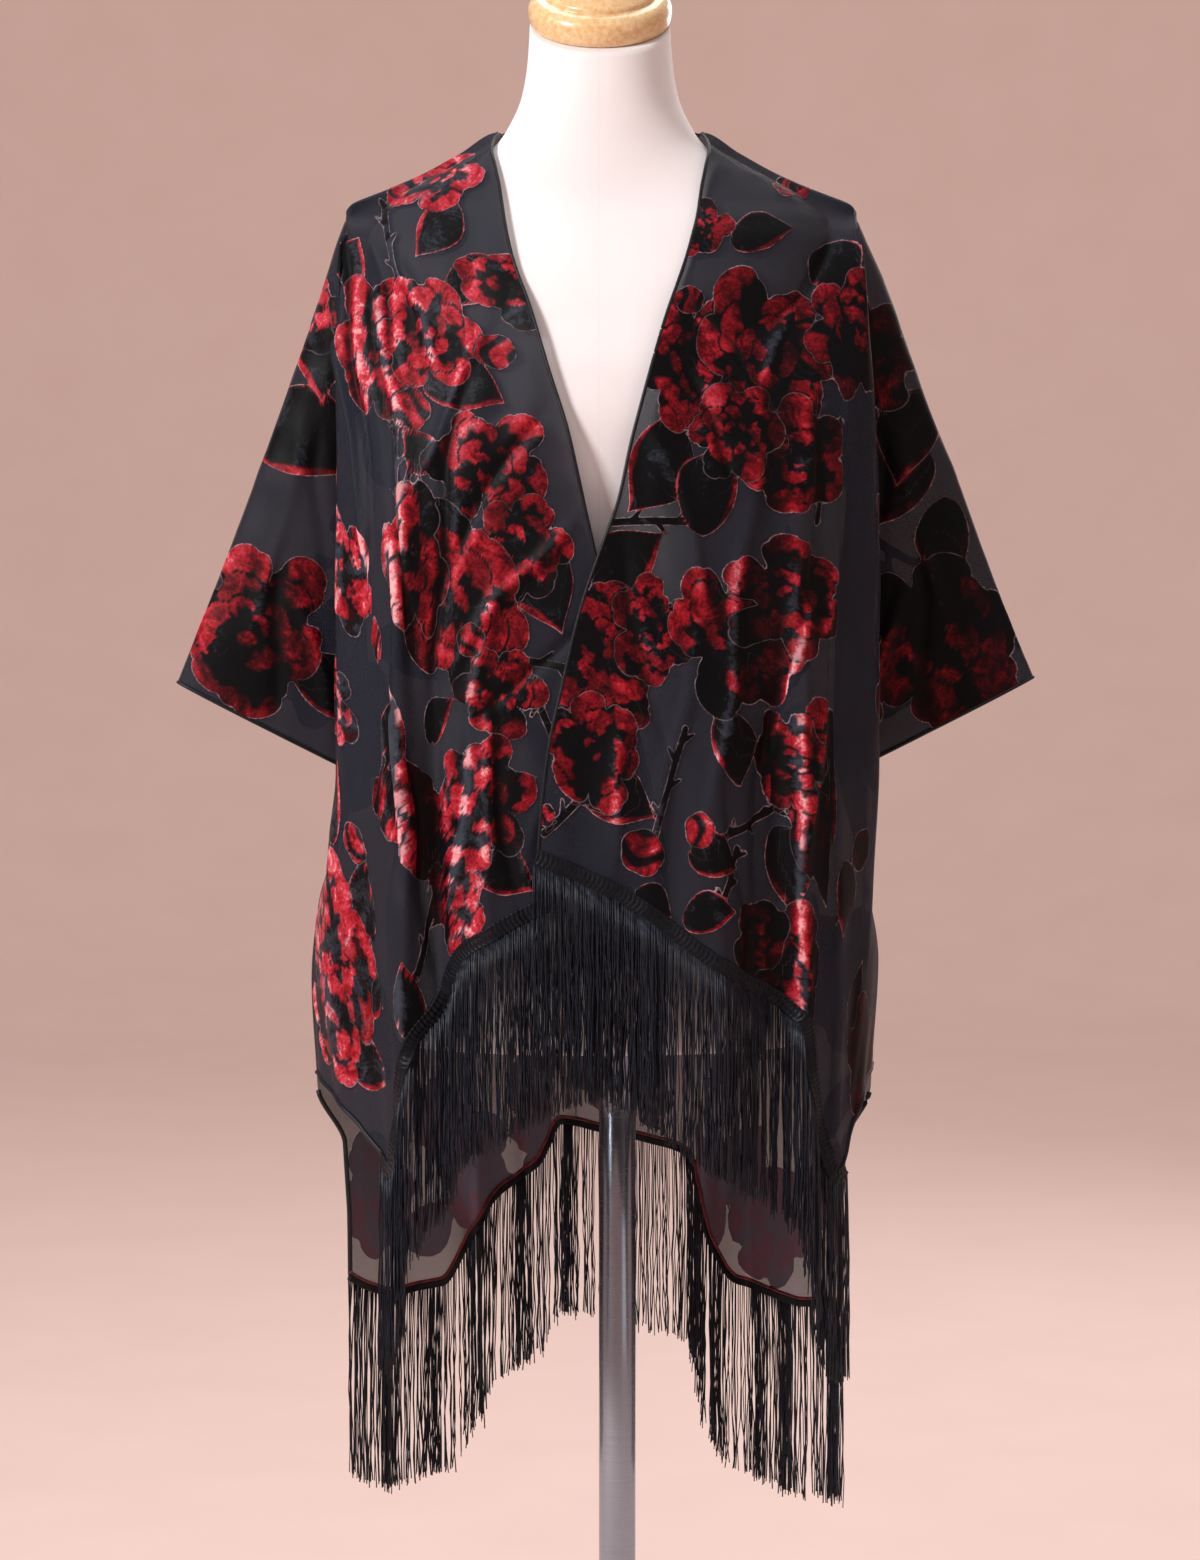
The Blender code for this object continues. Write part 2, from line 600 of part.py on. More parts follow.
def add_fringe(name, hem, above, outward_y, seed, finish, collection):
    """A header that follows the hem's own corners, with locks that hang from its lower edge."""
    lengths = np.concatenate([[0.0], np.cumsum(np.linalg.norm(np.diff(hem, axis=0), axis=1))])
    count = int(lengths[-1] / LOCK_STEP)
    at = np.linspace(0.0, lengths[-1], count + 1)
    line = np.stack([np.interp(at, lengths, hem[:, k]) for k in range(3)], axis=-1)
    upper = np.stack([np.interp(at, lengths, above[:, k]) for k in range(3)], axis=-1)
    tangent = unit(smoothed(np.gradient(line, axis=0), 4))
    down = unit(smoothed(line - upper, 6))
    down = unit(down - (down * tangent).sum(axis=1, keepdims=True) * tangent)
    normal = unit(np.cross(tangent, down))
    facing = np.sign((normal[:, 1] * outward_y).sum())
    normal = normal * facing
    half = HEADER_WALL / 2
    start = line + down * HEADER_GAP
    end = line + down * (HEADER_GAP + HEADER_DEPTH)
    ring = np.stack([start + normal * half, start - normal * half, end - normal * half, end + normal * half], axis=1)
    points = [tuple(p) for p in ring.reshape(-1, 3)]
    total = len(line)
    faces = []
    for i in range(total - 1):
        a = 4 * i
        b = 4 * (i + 1)
        for k in (0, 1, 3):
            m = (k + 1) % 4
            faces.append((a + k, a + m, b + m, b + k))
    faces.append((3, 2, 1, 0))
    tail = 4 * (total - 1)
    faces.append((tail, tail + 1, tail + 2, tail + 3))
    flat_normal = unit(smoothed(normal, 4) * np.array([1.0, 1.0, 0.0]))
    sideways = np.stack([-flat_normal[:, 1], flat_normal[:, 0], 0 * flat_normal[:, 0]], axis=-1)
    random = np.random.default_rng(seed)
    hung = []
    locks = 0
    for i in range(total - 1):
        a = 4 * i
        b = 4 * (i + 1)
        root = (a + 3, a + 2, b + 2, b + 3)
        middle = (end[i] + end[i + 1]) / 2
        sway = random.uniform(-1.0, 1.0, 3)
        n = flat_normal[i]
        w = sideways[i]
        if np.dot(w, line[i + 1] - line[i]) < 0:
            w = -w
        hang = middle + n * 0.0012
        if any(math.hypot(hang[0] - p[0], hang[1] - p[1]) < LEAST_BETWEEN_LOCKS for p in hung):
            faces.append(root[::-1])
            continue
        hung.append(hang)
        locks += 1
        rings = []
        length = LOCK_LENGTH + 0.004 * sway[2]
        for drop, wide, lean in ((0.0050, 1.0, 0.2), (length, 0.75, 1.0)):
            centre = hang + np.array([0.0, 0.0, -drop])
            centre = centre + (n * 0.0006 * sway[1] + w * 0.0005 * sway[0]) * lean
            x = w * LOCK_WIDTH * wide / 2
            y = n * LOCK_WALL * wide / 2
            rings.append([centre - x + y, centre - x - y, centre + x - y, centre + x + y])
        base = len(points)
        for level in rings:
            points.extend(tuple(p) for p in level)
        loops = [root, tuple(range(base, base + 4)), tuple(range(base + 4, base + 8))]
        for top, low in zip(loops[:-1], loops[1:]):
            for k in range(4):
                m = (k + 1) % 4
                faces.append((top[k], low[k], low[m], top[m]))
        faces.append(loops[-1][::-1])
    made = add_object(name, np.array(points), faces, finish, collection)
    print(name, locks, "locks")
    return made


def facing_out(made):
    """Turns a closed mesh's faces outwards."""
    mesh = made.data
    corners = np.empty(len(mesh.vertices) * 3)
    mesh.vertices.foreach_get("co", corners)
    corners = corners.reshape(-1, 3)
    mesh.calc_loop_triangles()
    triangles = np.empty(len(mesh.loop_triangles) * 3, dtype=np.int32)
    mesh.loop_triangles.foreach_get("vertices", triangles)
    volume = np.linalg.det(corners[triangles.reshape(-1, 3)]).sum()
    if volume < 0:
        mesh.flip_normals()


def hem_part(grid, first, last):
    """The lowest row of a panel and the row above it, between two columns."""
    return grid[-1, first:last], grid[-2, first:last]


def build():
    """Makes every piece of the object."""
    for old in list(bpy.data.objects):
        bpy.data.objects.remove(old, do_unlink=True)
    collection = bpy.data.collections.new(OBJECT_NAME)
    bpy.context.scene.collection.children.link(collection)

    cloth = material("devore_velvet_on_black_chiffon", (0.075, 0.012, 0.014), 0.75, sheen=0.3)
    fringe = material("blue_black_rayon_fringe", (0.010, 0.012, 0.020), 0.45)
    linen = material("off_white_jersey_cover", (0.80, 0.78, 0.77), 0.85)
    wood = material("varnished_beech", (0.62, 0.40, 0.20), 0.35)
    steel = material("polished_steel", (0.62, 0.62, 0.64), 0.18, metallic=1.0)

    add_form(linen, collection)
    base = [(0, COLLAR_TOP - 0.0), (0.0240, COLLAR_TOP), (0.0260, COLLAR_TOP - 0.002), (0.0260, 0.0180)]
    base += [(0.0300, 0.0130), (0.0400, BASE_TOP), (0.1440, BASE_TOP), (0.1480, 0.0105), (0.1500, 0.0070)]
    base += [(0.1500, 0.0010), (0.1490, 0.0), (0, 0.0)]
    add_turned("stand_base", base, 40, steel, collection)
    pole_top = FORM_BOTTOM - SEAT
    pole_low = COLLAR_TOP + SEAT
    pole = [(0, pole_top), (POLE_RADIUS - 0.0008, pole_top), (POLE_RADIUS, pole_top - 0.0008)]
    pole += [(POLE_RADIUS, pole_low + 0.0008), (POLE_RADIUS - 0.0008, pole_low), (0, pole_low)]
    add_turned("stand_pole", pole, 24, steel, collection)
    cap = [(0, 0.0700), (0.0070, 0.0692), (0.0130, 0.0660), (0.0165, 0.0600), (0.0160, 0.0530), (0.0120, 0.0475)]
    cap += [(0.0100, 0.0430), (0.0130, 0.0390), (0.0260, 0.0355), (0.0370, 0.0300), (0.0425, 0.0250)]
    cap += [(0.0430, 0.0225), (0.0480, 0.0210), (0.0530, 0.0170), (0.0550, 0.0110), (0.0545, 0.0045), (0.0525, 0.0)]
    cap += [(0, 0.0)]
    top = add_turned("form_neck_cap", cap, 32, wood, collection)
    top.rotation_euler = (CAP_TILT, 0.0, 0.0)
    lift = SEAT / math.cos(CAP_TILT)
    top.location = (WEAR_X, 0.0, CAP_SEAT_Z + lift)

    left = front_panel(1, LEFT_WIDTHS, LEFT_HEM, LEFT_FOLDS, FRONT_COLUMNS, PANEL_ROWS)
    right = front_panel(-1, RIGHT_WIDTHS, RIGHT_HEM, RIGHT_FOLDS, FRONT_COLUMNS, PANEL_ROWS)
    back = back_panel(BACK_COLUMNS, PANEL_ROWS)
    add_shell("kimono_front_left", left[:, ::-1], False, False, cloth, collection)
    add_shell("kimono_front_right", right, False, False, cloth, collection)
    add_shell("kimono_back", back, False, False, cloth, collection)

    parts = np.array([0.0, 0.05, 0.12, 0.21, 0.31, 0.41, 0.51, 0.61, 0.71, 0.81, 0.91, 1.0])
    angles = np.linspace(0, math.tau, SLEEVE_SIDES, endpoint=False)
    left_sleeve = sleeve_rings(1, LEFT_SLEEVE, parts, angles, left[:, -1], back[:, -1])
    right_sleeve = sleeve_rings(-1, RIGHT_SLEEVE, parts, angles, right[:, -1], back[:, 0])
    add_shell("kimono_sleeve_left", left_sleeve, True, False, cloth, collection)
    add_shell("kimono_sleeve_right", right_sleeve, True, True, cloth, collection)

    left_corner = int(np.argmin(np.abs(left[-1, :, 0] - WEAR_X - LEFT_CORNER))) + 1
    right_corner = int(np.argmin(np.abs(right[-1, :, 0] - WEAR_X + RIGHT_CORNER))) + 1
    made = [
        add_fringe("fringe_front_left", *hem_part(left, 0, left_corner), -1, 3, fringe, collection),
        add_fringe("fringe_front_right", *hem_part(right, 0, right_corner), -1, 5, fringe, collection),
        add_fringe("fringe_back", *hem_part(back, 0, len(BACK_COLUMNS)), 1, 7, fringe, collection),
    ]
    for piece in made:
        facing_out(piece)


build()
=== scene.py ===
"""Looks of an open kimono cardigan of devore velvet on black chiffon, worn on a dress form.

Metres, +Z up, floor at z = 0, the open front faces -Y. Left and right are the wearer's. Widths are measured
from the garment's centre plane, which stands a little to one side of the pole.
"""

from __future__ import annotations

import logging
import math
from dataclasses import dataclass
from enum import Enum
from typing import Sequence

import bpy
import numpy as np
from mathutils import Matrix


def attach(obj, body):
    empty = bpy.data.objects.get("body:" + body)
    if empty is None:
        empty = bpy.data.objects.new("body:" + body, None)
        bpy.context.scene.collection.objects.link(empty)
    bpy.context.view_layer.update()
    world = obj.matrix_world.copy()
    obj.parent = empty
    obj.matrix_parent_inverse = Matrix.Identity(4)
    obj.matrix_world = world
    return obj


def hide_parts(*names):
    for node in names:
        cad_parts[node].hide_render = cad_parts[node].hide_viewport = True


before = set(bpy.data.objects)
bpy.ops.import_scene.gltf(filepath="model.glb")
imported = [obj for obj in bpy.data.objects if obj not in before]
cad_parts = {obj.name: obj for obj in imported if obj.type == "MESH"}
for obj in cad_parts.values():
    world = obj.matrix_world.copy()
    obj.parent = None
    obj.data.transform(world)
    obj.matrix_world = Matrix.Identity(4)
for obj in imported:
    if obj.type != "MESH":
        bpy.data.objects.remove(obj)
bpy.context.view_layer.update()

LOG = logging.getLogger("kimono")

# The form's centre plane stands this far from the pole.
WEAR_X = -0.0135
# Half the space between the front's and the back's middle surfaces where they are sewn.
GAP = 0.0005
FORM_BOTTOM = 0.698
SEAT = 0.0003
CAP_TILT = math.radians(28)
CAP_SEAT_Z = 1.4805
ARMHOLE_TOP = 1.333
ARMHOLE_BOTTOM = 1.100
ARMHOLE_HALF = 0.034
BACK_NARROWING = 0.085
SEAM_END = 0.66
NECK_HALF_WIDTH = 0.079
NECK_BACK_DEPTH = 0.066
# Height at which the places on the cloth start to be counted.
BUST_LEVEL = 1.10
# Heights at which a panel's widths are read for its top edge, and for its hem at the front and at the back.
TOP_LEVEL = 1.400
FRONT_HEM_LEVEL = 0.70
BACK_HEM_LEVEL = 0.56
# How far the cloth's middle is kept off the form, before and after its finer creases are added.
FOLD_CLEARANCE = 0.0042
CREASE_CLEARANCE = 0.0030
CLOTH_WALL = 0.0007
PILE_RISE = 0.00035
# How much more a finer crease adds to the painted ridge highlight and trough shade than a large fold of the
# same height.
CREASE_WEIGHT = 2.2
BEAD_SIDES = 8

FloatArray = np.ndarray
Finish = bpy.types.Material
Piece = bpy.types.Object
Socket = bpy.types.NodeSocket
ClothSides = tuple[Finish, Finish]


def rows(*lines: tuple[float, ...]) -> FloatArray:
    """A short table as an array, a row per line."""
    return np.array(lines, dtype=float)


def soft_step(low: float, high: float, at: FloatArray) -> FloatArray:
    """0 below low and 1 above high, with the cubic 3u^2 - 2u^3 between.

    Args:
        low: Where the step starts.
        high: Where the step is full.
        at: Places to read it at.

    Returns:
        The step at each place.
    """
    u = np.clip((at - low) / (high - low), 0.0, 1.0)
    return u * u * (3 - 2 * u)


def unit(vectors: FloatArray) -> FloatArray:
    """The same directions with length one."""
    return vectors / np.maximum(np.linalg.norm(vectors, axis=-1, keepdims=True), 1e-12)


def smoothed(values: FloatArray, passes: int) -> FloatArray:
    """Each row drawn towards its neighbours by the weights 1, 2, 1, with the ends held.

    Args:
        values: Values in order along the first axis.
        passes: How many times to smooth.

    Returns:
        The smoothed values.
    """
    values = values.copy()
    for _ in range(passes):
        values[1:-1] = (values[:-2] + 2 * values[1:-1] + values[2:]) / 4
    return values


def slopes(knots: FloatArray, values: FloatArray) -> FloatArray:
    """Slopes of a cubic that never swings past its values.

    Each is the weighted harmonic mean of the rises on its two sides, or none where they differ in sign.

    Args:
        knots: Places of the values, rising.
        values: Values, the first axis along the knots.

    Returns:
        The slope at each knot.
    """
    width = np.diff(knots).reshape((-1,) + (1,) * (values.ndim - 1))
    rise = np.diff(values, axis=0) / width
    first = 2 * width[1:] + width[:-1]
    second = width[1:] + 2 * width[:-1]
    same = rise[:-1] * rise[1:] > 0
    before = np.where(same, rise[:-1], 1.0)
    after = np.where(same, rise[1:], 1.0)
    inner = np.where(same, (first + second) / (first / before + second / after), 0.0)
    return np.concatenate([rise[:1], inner, rise[-1:]])


def across(knots: FloatArray | Sequence[float], values: FloatArray, at: FloatArray) -> FloatArray:
    """Reads the smooth cubic through values[k] at knots[k], where every place has values of its own.

    Args:
        knots: Places of the values, rising.
        values: An array per knot, each with the shape of the places.
        at: Places to read.

    Returns:
        The curve at each place.
    """
    knots = np.asarray(knots, dtype=float)
    tangent = slopes(knots, values)
    result = np.zeros(np.broadcast(at, values[0]).shape)
    for k in range(len(knots) - 1):
        width = knots[k + 1] - knots[k]
        u = np.clip((at - knots[k]) / width, 0.0, 1.0)
        piece = (
            (2 * u**3 - 3 * u**2 + 1) * values[k]
            + (u**3 - 2 * u**2 + u) * width * tangent[k]
            + (3 * u**2 - 2 * u**3) * values[k + 1]
            + (u**3 - u**2) * width * tangent[k + 1]
        )
        result = np.where((at >= knots[k]) | (k == 0), piece, result)
    return result


@dataclass(frozen=True, eq=False)
class Table:
    """A table of sections that is read smoothly by its first column."""

    lines: FloatArray
    fineness: int = 1600

    def read(self, column: int, at: FloatArray) -> FloatArray:
        """One column at the places given, through a fine reading of its smooth curve.

        Args:
            column: Which column to read.
            at: Places in the first column.

        Returns:
            The column's values.
        """
        knots = self.lines[:, 0]
        fine = np.linspace(knots[0], knots[-1], self.fineness)
        curve = across(knots, self.lines[:, column][:, None] * np.ones(len(fine)), fine)
        return np.interp(at, fine, curve)


def linear_colour(code: str) -> tuple[float, float, float, float]:
    """Turns an sRGB hex colour to linear light.

    Args:
        code: Six hex digits after a hash.

    Returns:
        Linear red, green and blue, with full alpha.
    """
    parts = [int(code[k : k + 2], 16) / 255 for k in (1, 3, 5)]
    linear = [c / 12.92 if c <= 0.04045 else ((c + 0.055) / 1.055) ** 2.4 for c in parts]
    return (linear[0], linear[1], linear[2], 1.0)


class Weave:
    """A material's node tree, with one way to add a node."""

    def __init__(self, name: str) -> None:
        """Starts an empty material with this name."""
        self.material = bpy.data.materials.new(name)
        self.material.use_nodes = True
        self.tree = self.material.node_tree
        self.tree.nodes.clear()

    def add(self, kind: str, settings: dict | None = None, **links: object) -> bpy.types.Node:
        """Adds a node.

        Args:
            kind: The node's type name without ShaderNode in front.
            settings: Node properties, and values of sockets whose name or number is a key.
            links: Sockets by name with _ for a space, or by i and a number. Another node's socket is linked,
                and a value is set.

        Returns:
            The node.
        """
        node = self.tree.nodes.new("ShaderNode" + kind)
        for key, value in (settings or {}).items():
            if isinstance(key, int) or key in node.inputs:
                node.inputs[key].default_value = value
            else:
                setattr(node, key, value)
        for key, value in links.items():
            numbered = key[0] == "i" and key[1:].isdigit()
            socket = node.inputs[int(key[1:])] if numbered else node.inputs[key.replace("_", " ")]
            if isinstance(value, Socket):
                self.tree.links.new(value, socket)
            else:
                socket.default_value = value
        return node

    def finish(self, shader: Socket) -> Finish:
        """Joins the shader to the output and gives the material."""
        self.add("OutputMaterial", Surface=shader)
        return self.material


class Lay(Enum):
    """Kinds of shape in the velvet pattern."""

    BLOOM = "bloom"
    LEAF = "leaf"
    BUD = "bud"
    STEM = "stem"


@dataclass(frozen=True)
class Motif:
    """One shape of the pattern, laid on the cloth in metres."""

    kind: Lay
    u: float
    v: float
    size: float
    turn: float = 0.0
    stretch: float = 1.0

    def near(self, u: FloatArray, v: FloatArray) -> FloatArray:
        """Which places lie close enough to the shape to matter."""
        room = self.size * max(1.0, self.stretch) * 1.35 + 0.012
        return (np.abs(u - self.u) < room) & (np.abs(v - self.v) < room)

    def fields(self, u: FloatArray, v: FloatArray) -> tuple[FloatArray, FloatArray]:
        """The shape in the cloth's own coordinates.

        Args:
            u: Place across the cloth.
            v: Place up the cloth.

        Returns:
            How far inside the shape each place lies, and how red it is.
        """
        turn = math.radians(self.turn)
        x = (u - self.u) * math.cos(turn) + (v - self.v) * math.sin(turn)
        y = -(u - self.u) * math.sin(turn) + (v - self.v) * math.cos(turn)
        ways = {Lay.BLOOM: self._bloom, Lay.LEAF: self._leaf, Lay.BUD: self._bud, Lay.STEM: self._stem}
        return ways[self.kind](x, y)

    def _bloom(self, x: FloatArray, y: FloatArray) -> tuple[FloatArray, FloatArray]:
        """A loose rose: rings of fan-shaped petals, painted from the outside in.

        A petal is an oval about its own centre, narrower at its base. Its edge is one less a scallop, a power
        of a cosine. It is red towards its edge and black at its base and sides, with an uneven line between.
        """
        y = y / self.stretch
        random = np.random.default_rng(int(abs(self.u) * 9000 + self.v * 7000 + self.size * 3000))
        inside = np.full(x.shape, -0.05)
        red = np.zeros(x.shape)
        rings = ((6, 0.56, 0.42, 0.47), (5, 0.37, 0.36, 0.41), (4, 0.20, 0.26, 0.31), (2, 0.07, 0.15, 0.19))
        for ring, (count, away, deep, wide) in enumerate(rings):
            first = random.uniform(0, math.tau)
            for k in range(count):
                way = first + math.tau * (k + random.uniform(-0.22, 0.22)) / count
                out = self.size * away * random.uniform(0.86, 1.12)
                half_a = self.size * deep * random.uniform(0.86, 1.16)
                half_b = self.size * wide * random.uniform(0.80, 1.22)
                lean = random.uniform(-0.6, 0.6)
                start = random.uniform(-0.34, 0.36)
                lobes = random.integers(3, 6)
                a = (x * math.cos(way) + y * math.sin(way) - out) / half_a
                b = (-x * math.sin(way) + y * math.cos(way)) / half_b
                b = b / (0.70 + 0.30 * np.clip(a, -1, 1))
                angle = np.arctan2(b, a)
                scallop = 1 - np.abs(np.cos(lobes * angle / 2 + lean)) ** 0.7
                edge = 1 - 0.16 * scallop * soft_step(2.4, 1.2, np.abs(angle))
                this = (edge - np.hypot(a, b)) * min(half_a, half_b)
                wave = 0.17 * np.sin(5 * b + 4 * lean) + 0.11 * np.sin(11 * b - 7 * lean + 3 * a)
                patch = soft_step(start, start + 0.36, a + lean * b + wave)
                patch = patch * soft_step(1.02, 0.74, np.abs(b - 0.2 * lean) + 0.5 * wave)
                if ring and random.random() < 0.75:
                    patch = patch * soft_step(0.0006, 0.0020, this)
                patch = patch * random.uniform(0.50, 1.0) * (0.15 if random.random() < 0.15 else 1.0)
                red = np.where(this > 0, patch, red)
                inside = np.maximum(inside, this)
        return inside, red

    def _leaf(self, x: FloatArray, y: FloatArray) -> tuple[FloatArray, FloatArray]:
        """An oval with a point: half width is a growing power of a sine, with a red rim wider on one side."""
        length = self.size
        along = np.clip(x / length + 0.5, 0.0, 1.0)
        y = y - 0.10 * length * np.sin(math.pi * along)
        half = 0.31 * self.stretch * length * np.sin(math.pi * along**0.80) ** (0.60 + 0.75 * along)
        inside = (half - np.abs(y)) * 0.85
        beyond = np.maximum(np.abs(x) - length / 2, 0.0)
        inside = np.where(beyond > 0, -np.hypot(beyond, np.abs(y)), inside)
        waver = 1 + 0.30 * np.sin(110 * x + 30 * self.v) + 0.2 * np.sin(260 * x + 50 * self.u)
        rim = np.where(y > 0, 0.0009 * waver, 0.0012 + 0.30 * half * along**1.6 * waver)
        red = 1 - soft_step(0.45, 1.45, inside / np.maximum(rim, 1e-4))
        return inside, 0.8 * red

    def _bud(self, x: FloatArray, y: FloatArray) -> tuple[FloatArray, FloatArray]:
        """A small scalloped oval with dark bars that cross it."""
        y = y / self.stretch
        angle = np.arctan2(y, x)
        edge = self.size * (1 - 0.10 * (1 - np.abs(np.cos(2.5 * angle))))
        inside = edge - np.hypot(x, y)
        bend = 2.1 * np.sin(2.3 * y / self.size + 60 * self.u) + 50 * self.v
        bars = soft_step(-0.95, 0.15, np.sin(4.9 * x / self.size + bend))
        return inside, 0.74 * bars * soft_step(0.0, 0.0010, inside)

    def _stem(self, x: FloatArray, y: FloatArray) -> tuple[FloatArray, FloatArray]:
        """A thin line bent as a sine of the part along it, with short thorns leaning off either side."""
        length = self.size
        along = np.clip(x / length + 0.5, 0.0, 1.0)
        y = y - 0.09 * length * np.sin(2.4 * along + self.u * 40) * self.stretch
        beyond = np.maximum(np.abs(x) - length / 2, 0.0)
        inside = 0.0033 - np.hypot(beyond, y)
        reach_out = 0.012
        for part, side in ((0.28, 1), (0.52, -1), (0.74, 1), (0.90, -1)):
            start = (part - 0.5) * length
            t = np.clip(((x - start) * 0.62 + side * y * 0.78) / reach_out, 0.0, 1.0)
            away = np.hypot(x - start - 0.62 * reach_out * t, y - side * 0.78 * reach_out * t)
            inside = np.maximum(inside, 0.0032 * (1 - 0.50 * t) - away)
        return inside, np.zeros(x.shape)


@dataclass(frozen=True)
class Pattern:
    """The velvet pattern of one piece: shapes laid one over another."""

    motifs: Sequence[Motif]

    def values(self, u: FloatArray, v: FloatArray, nap_and_painted_light: FloatArray) -> FloatArray:
        """Four numbers for each place on the cloth.

        Args:
            u: Place across the cloth, in metres.
            v: Place up the cloth, in metres.
            nap_and_painted_light: Painted light on the pile, from 0 to 1: painted highlight on sharp ridges
                and on slopes turned up or to -X, painted shade in troughs.

        Returns:
            Millimetres inside the pile, redness, millimetres inside the nearest shape, and the painted light
            on the pile.
        """
        pile = np.full(u.shape, -0.03)
        red = np.zeros(u.shape)
        border = np.full(u.shape, 0.03)
        for motif in self.motifs:
            near = motif.near(u, v)
            if not near.any():
                continue
            inside, redness = motif.fields(u[near], v[near])
            red[near] = np.where(inside > -0.0012, redness, red[near])
            nearer = (inside > 0) | (-inside < np.abs(border[near]))
            border[near] = np.where(nearer, inside, border[near])
            pile[near] = np.maximum(pile[near], inside)
        return np.stack([pile * 1000, red, border * 1000, nap_and_painted_light], axis=-1)


@dataclass(frozen=True)
class DressForm:
    """The limbless torso: a flattened oval at each height."""

    roundness: float = 2.25
    table: Table = Table(rows(
        # height, half width, depth to the front, depth to the back, tilt of the row
        (0.698, 0.1560, 0.0960, 0.0900, 0.00), (0.704, 0.1590, 0.0990, 0.0930, 0.00),
        (0.740, 0.1640, 0.1040, 0.1000, 0.00), (0.790, 0.1660, 0.1080, 0.1060, 0.00),
        (0.840, 0.1600, 0.1080, 0.1040, 0.00), (0.900, 0.1430, 0.1020, 0.0940, 0.00),
        (0.960, 0.1280, 0.0970, 0.0840, 0.00), (1.000, 0.1240, 0.0970, 0.0800, 0.00),
        (1.050, 0.1310, 0.1040, 0.0840, 0.00), (1.100, 0.1450, 0.1160, 0.0900, 0.00),
        (1.140, 0.1550, 0.1240, 0.0940, 0.00), (1.170, 0.1610, 0.1265, 0.0970, 0.00),
        (1.210, 0.1650, 0.1200, 0.1000, 0.00), (1.250, 0.1720, 0.1060, 0.1010, 0.00),
        (1.285, 0.1790, 0.0920, 0.0980, 0.00), (1.308, 0.1800, 0.0800, 0.0900, 0.00),
        (1.326, 0.1730, 0.0680, 0.0790, 0.00), (1.341, 0.1560, 0.0580, 0.0680, 0.00),
        (1.356, 0.1310, 0.0520, 0.0600, 0.00), (1.372, 0.1020, 0.0490, 0.0560, 0.00),
        (1.387, 0.0800, 0.0485, 0.0545, 0.02), (1.403, 0.0690, 0.0490, 0.0535, 0.08),
        (1.424, 0.0600, 0.0500, 0.0525, 0.20), (1.450, 0.0555, 0.0510, 0.0515, 0.38),
        (1.480, 0.0535, 0.0520, 0.0520, 0.5317),
    ))

    def ratio(self, points: FloatArray) -> FloatArray:
        """The oval's own distance: the power mean of x over the half width and y over the depth, less one."""
        x, y, z = np.moveaxis(points, -1, 0)
        half = self.table.read(1, z)
        depth = np.where(y < 0, self.table.read(2, z), self.table.read(3, z))
        power = self.roundness
        return ((np.abs(x) / half) ** power + (np.abs(y) / depth) ** power) ** (1 / power) - 1

    def cleared(self, points: FloatArray, clearance: float) -> FloatArray:
        """Moves points that come too near the torso out along the slope of its ratio.

        Args:
            points: Points about the form's centre plane.
            clearance: How far off the surface they have to lie.

        Returns:
            The moved points.
        """
        step = 1e-4
        for _ in range(7):
            ratio = self.ratio(points)
            slope = np.stack([
                (self.ratio(points + step * axis) - self.ratio(points - step * axis)) / (2 * step)
                for axis in np.eye(3)
            ], axis=-1)
            length = np.maximum(np.linalg.norm(slope, axis=-1), 1e-6)
            short = np.clip(clearance - ratio / length, 0.0, 0.01)
            points = points + (short / length)[..., None] * slope
        return points

    def build(self) -> Piece:
        """The torso's skin: the oval swept up the table, tilted at the neck, closed at both ends.

        Returns:
            The piece.
        """
        heights = np.concatenate([np.linspace(0.698, 0.704, 4), np.linspace(0.712, 1.480, 130)])
        angle = np.linspace(0, math.tau, 128, endpoint=False)
        z, a = np.meshgrid(heights, angle, indexing="ij")
        power = 2 / self.roundness
        shape_x = np.sign(np.cos(a)) * np.abs(np.cos(a)) ** power
        shape_y = np.sign(np.sin(a)) * np.abs(np.sin(a)) ** power
        depth = np.where(shape_y < 0, self.table.read(2, z), self.table.read(3, z))
        y = depth * shape_y
        x = self.table.read(1, z) * shape_x + WEAR_X
        points = np.stack([x, y, z + self.table.read(4, z) * y], axis=-1)
        return sheet_mesh("covered_form", points, True, capped=True)


FORM = DressForm()

SHOULDER = Table(rows(
    (0.0000, 1.3930), (0.0790, 1.3970), (0.1070, 1.3815), (0.1380, 1.3640),
    (0.1690, 1.3490), (0.1900, 1.3400), (0.2000, 1.3350),
))
LEFT_WIDTHS = Table(rows(
    # height, front edge, middle, outer fold, side seam
    (0.560, -0.0466, 0.073, 0.1960, 0.2060), (0.683, -0.0466, 0.073, 0.2010, 0.2118),
    (0.760, -0.0466, 0.073, 0.2060, 0.2161), (0.825, -0.0466, 0.073, 0.2085, 0.2050),
    (0.880, -0.0440, 0.075, 0.2108, 0.1900), (0.930, -0.0384, 0.077, 0.2118, 0.1810),
    (0.982, -0.0273, 0.082, 0.2115, 0.1820), (1.037, -0.0140, 0.090, 0.2112, 0.1850),
    (1.084, 0.0022, 0.099, 0.2108, 0.1880), (1.114, 0.0132, 0.105, 0.2102, 0.1900),
    (1.160, 0.0235, 0.110, 0.2085, 0.1920), (1.194, 0.0324, 0.115, 0.2070, 0.1930),
    (1.247, 0.0474, 0.122, 0.2030, 0.1945), (1.306, 0.0672, 0.132, 0.1990, 0.1960),
    (1.335, 0.0740, 0.135, 0.1930, 0.1965), (1.400, 0.0790, 0.135, 0.1850, 0.1970),
))
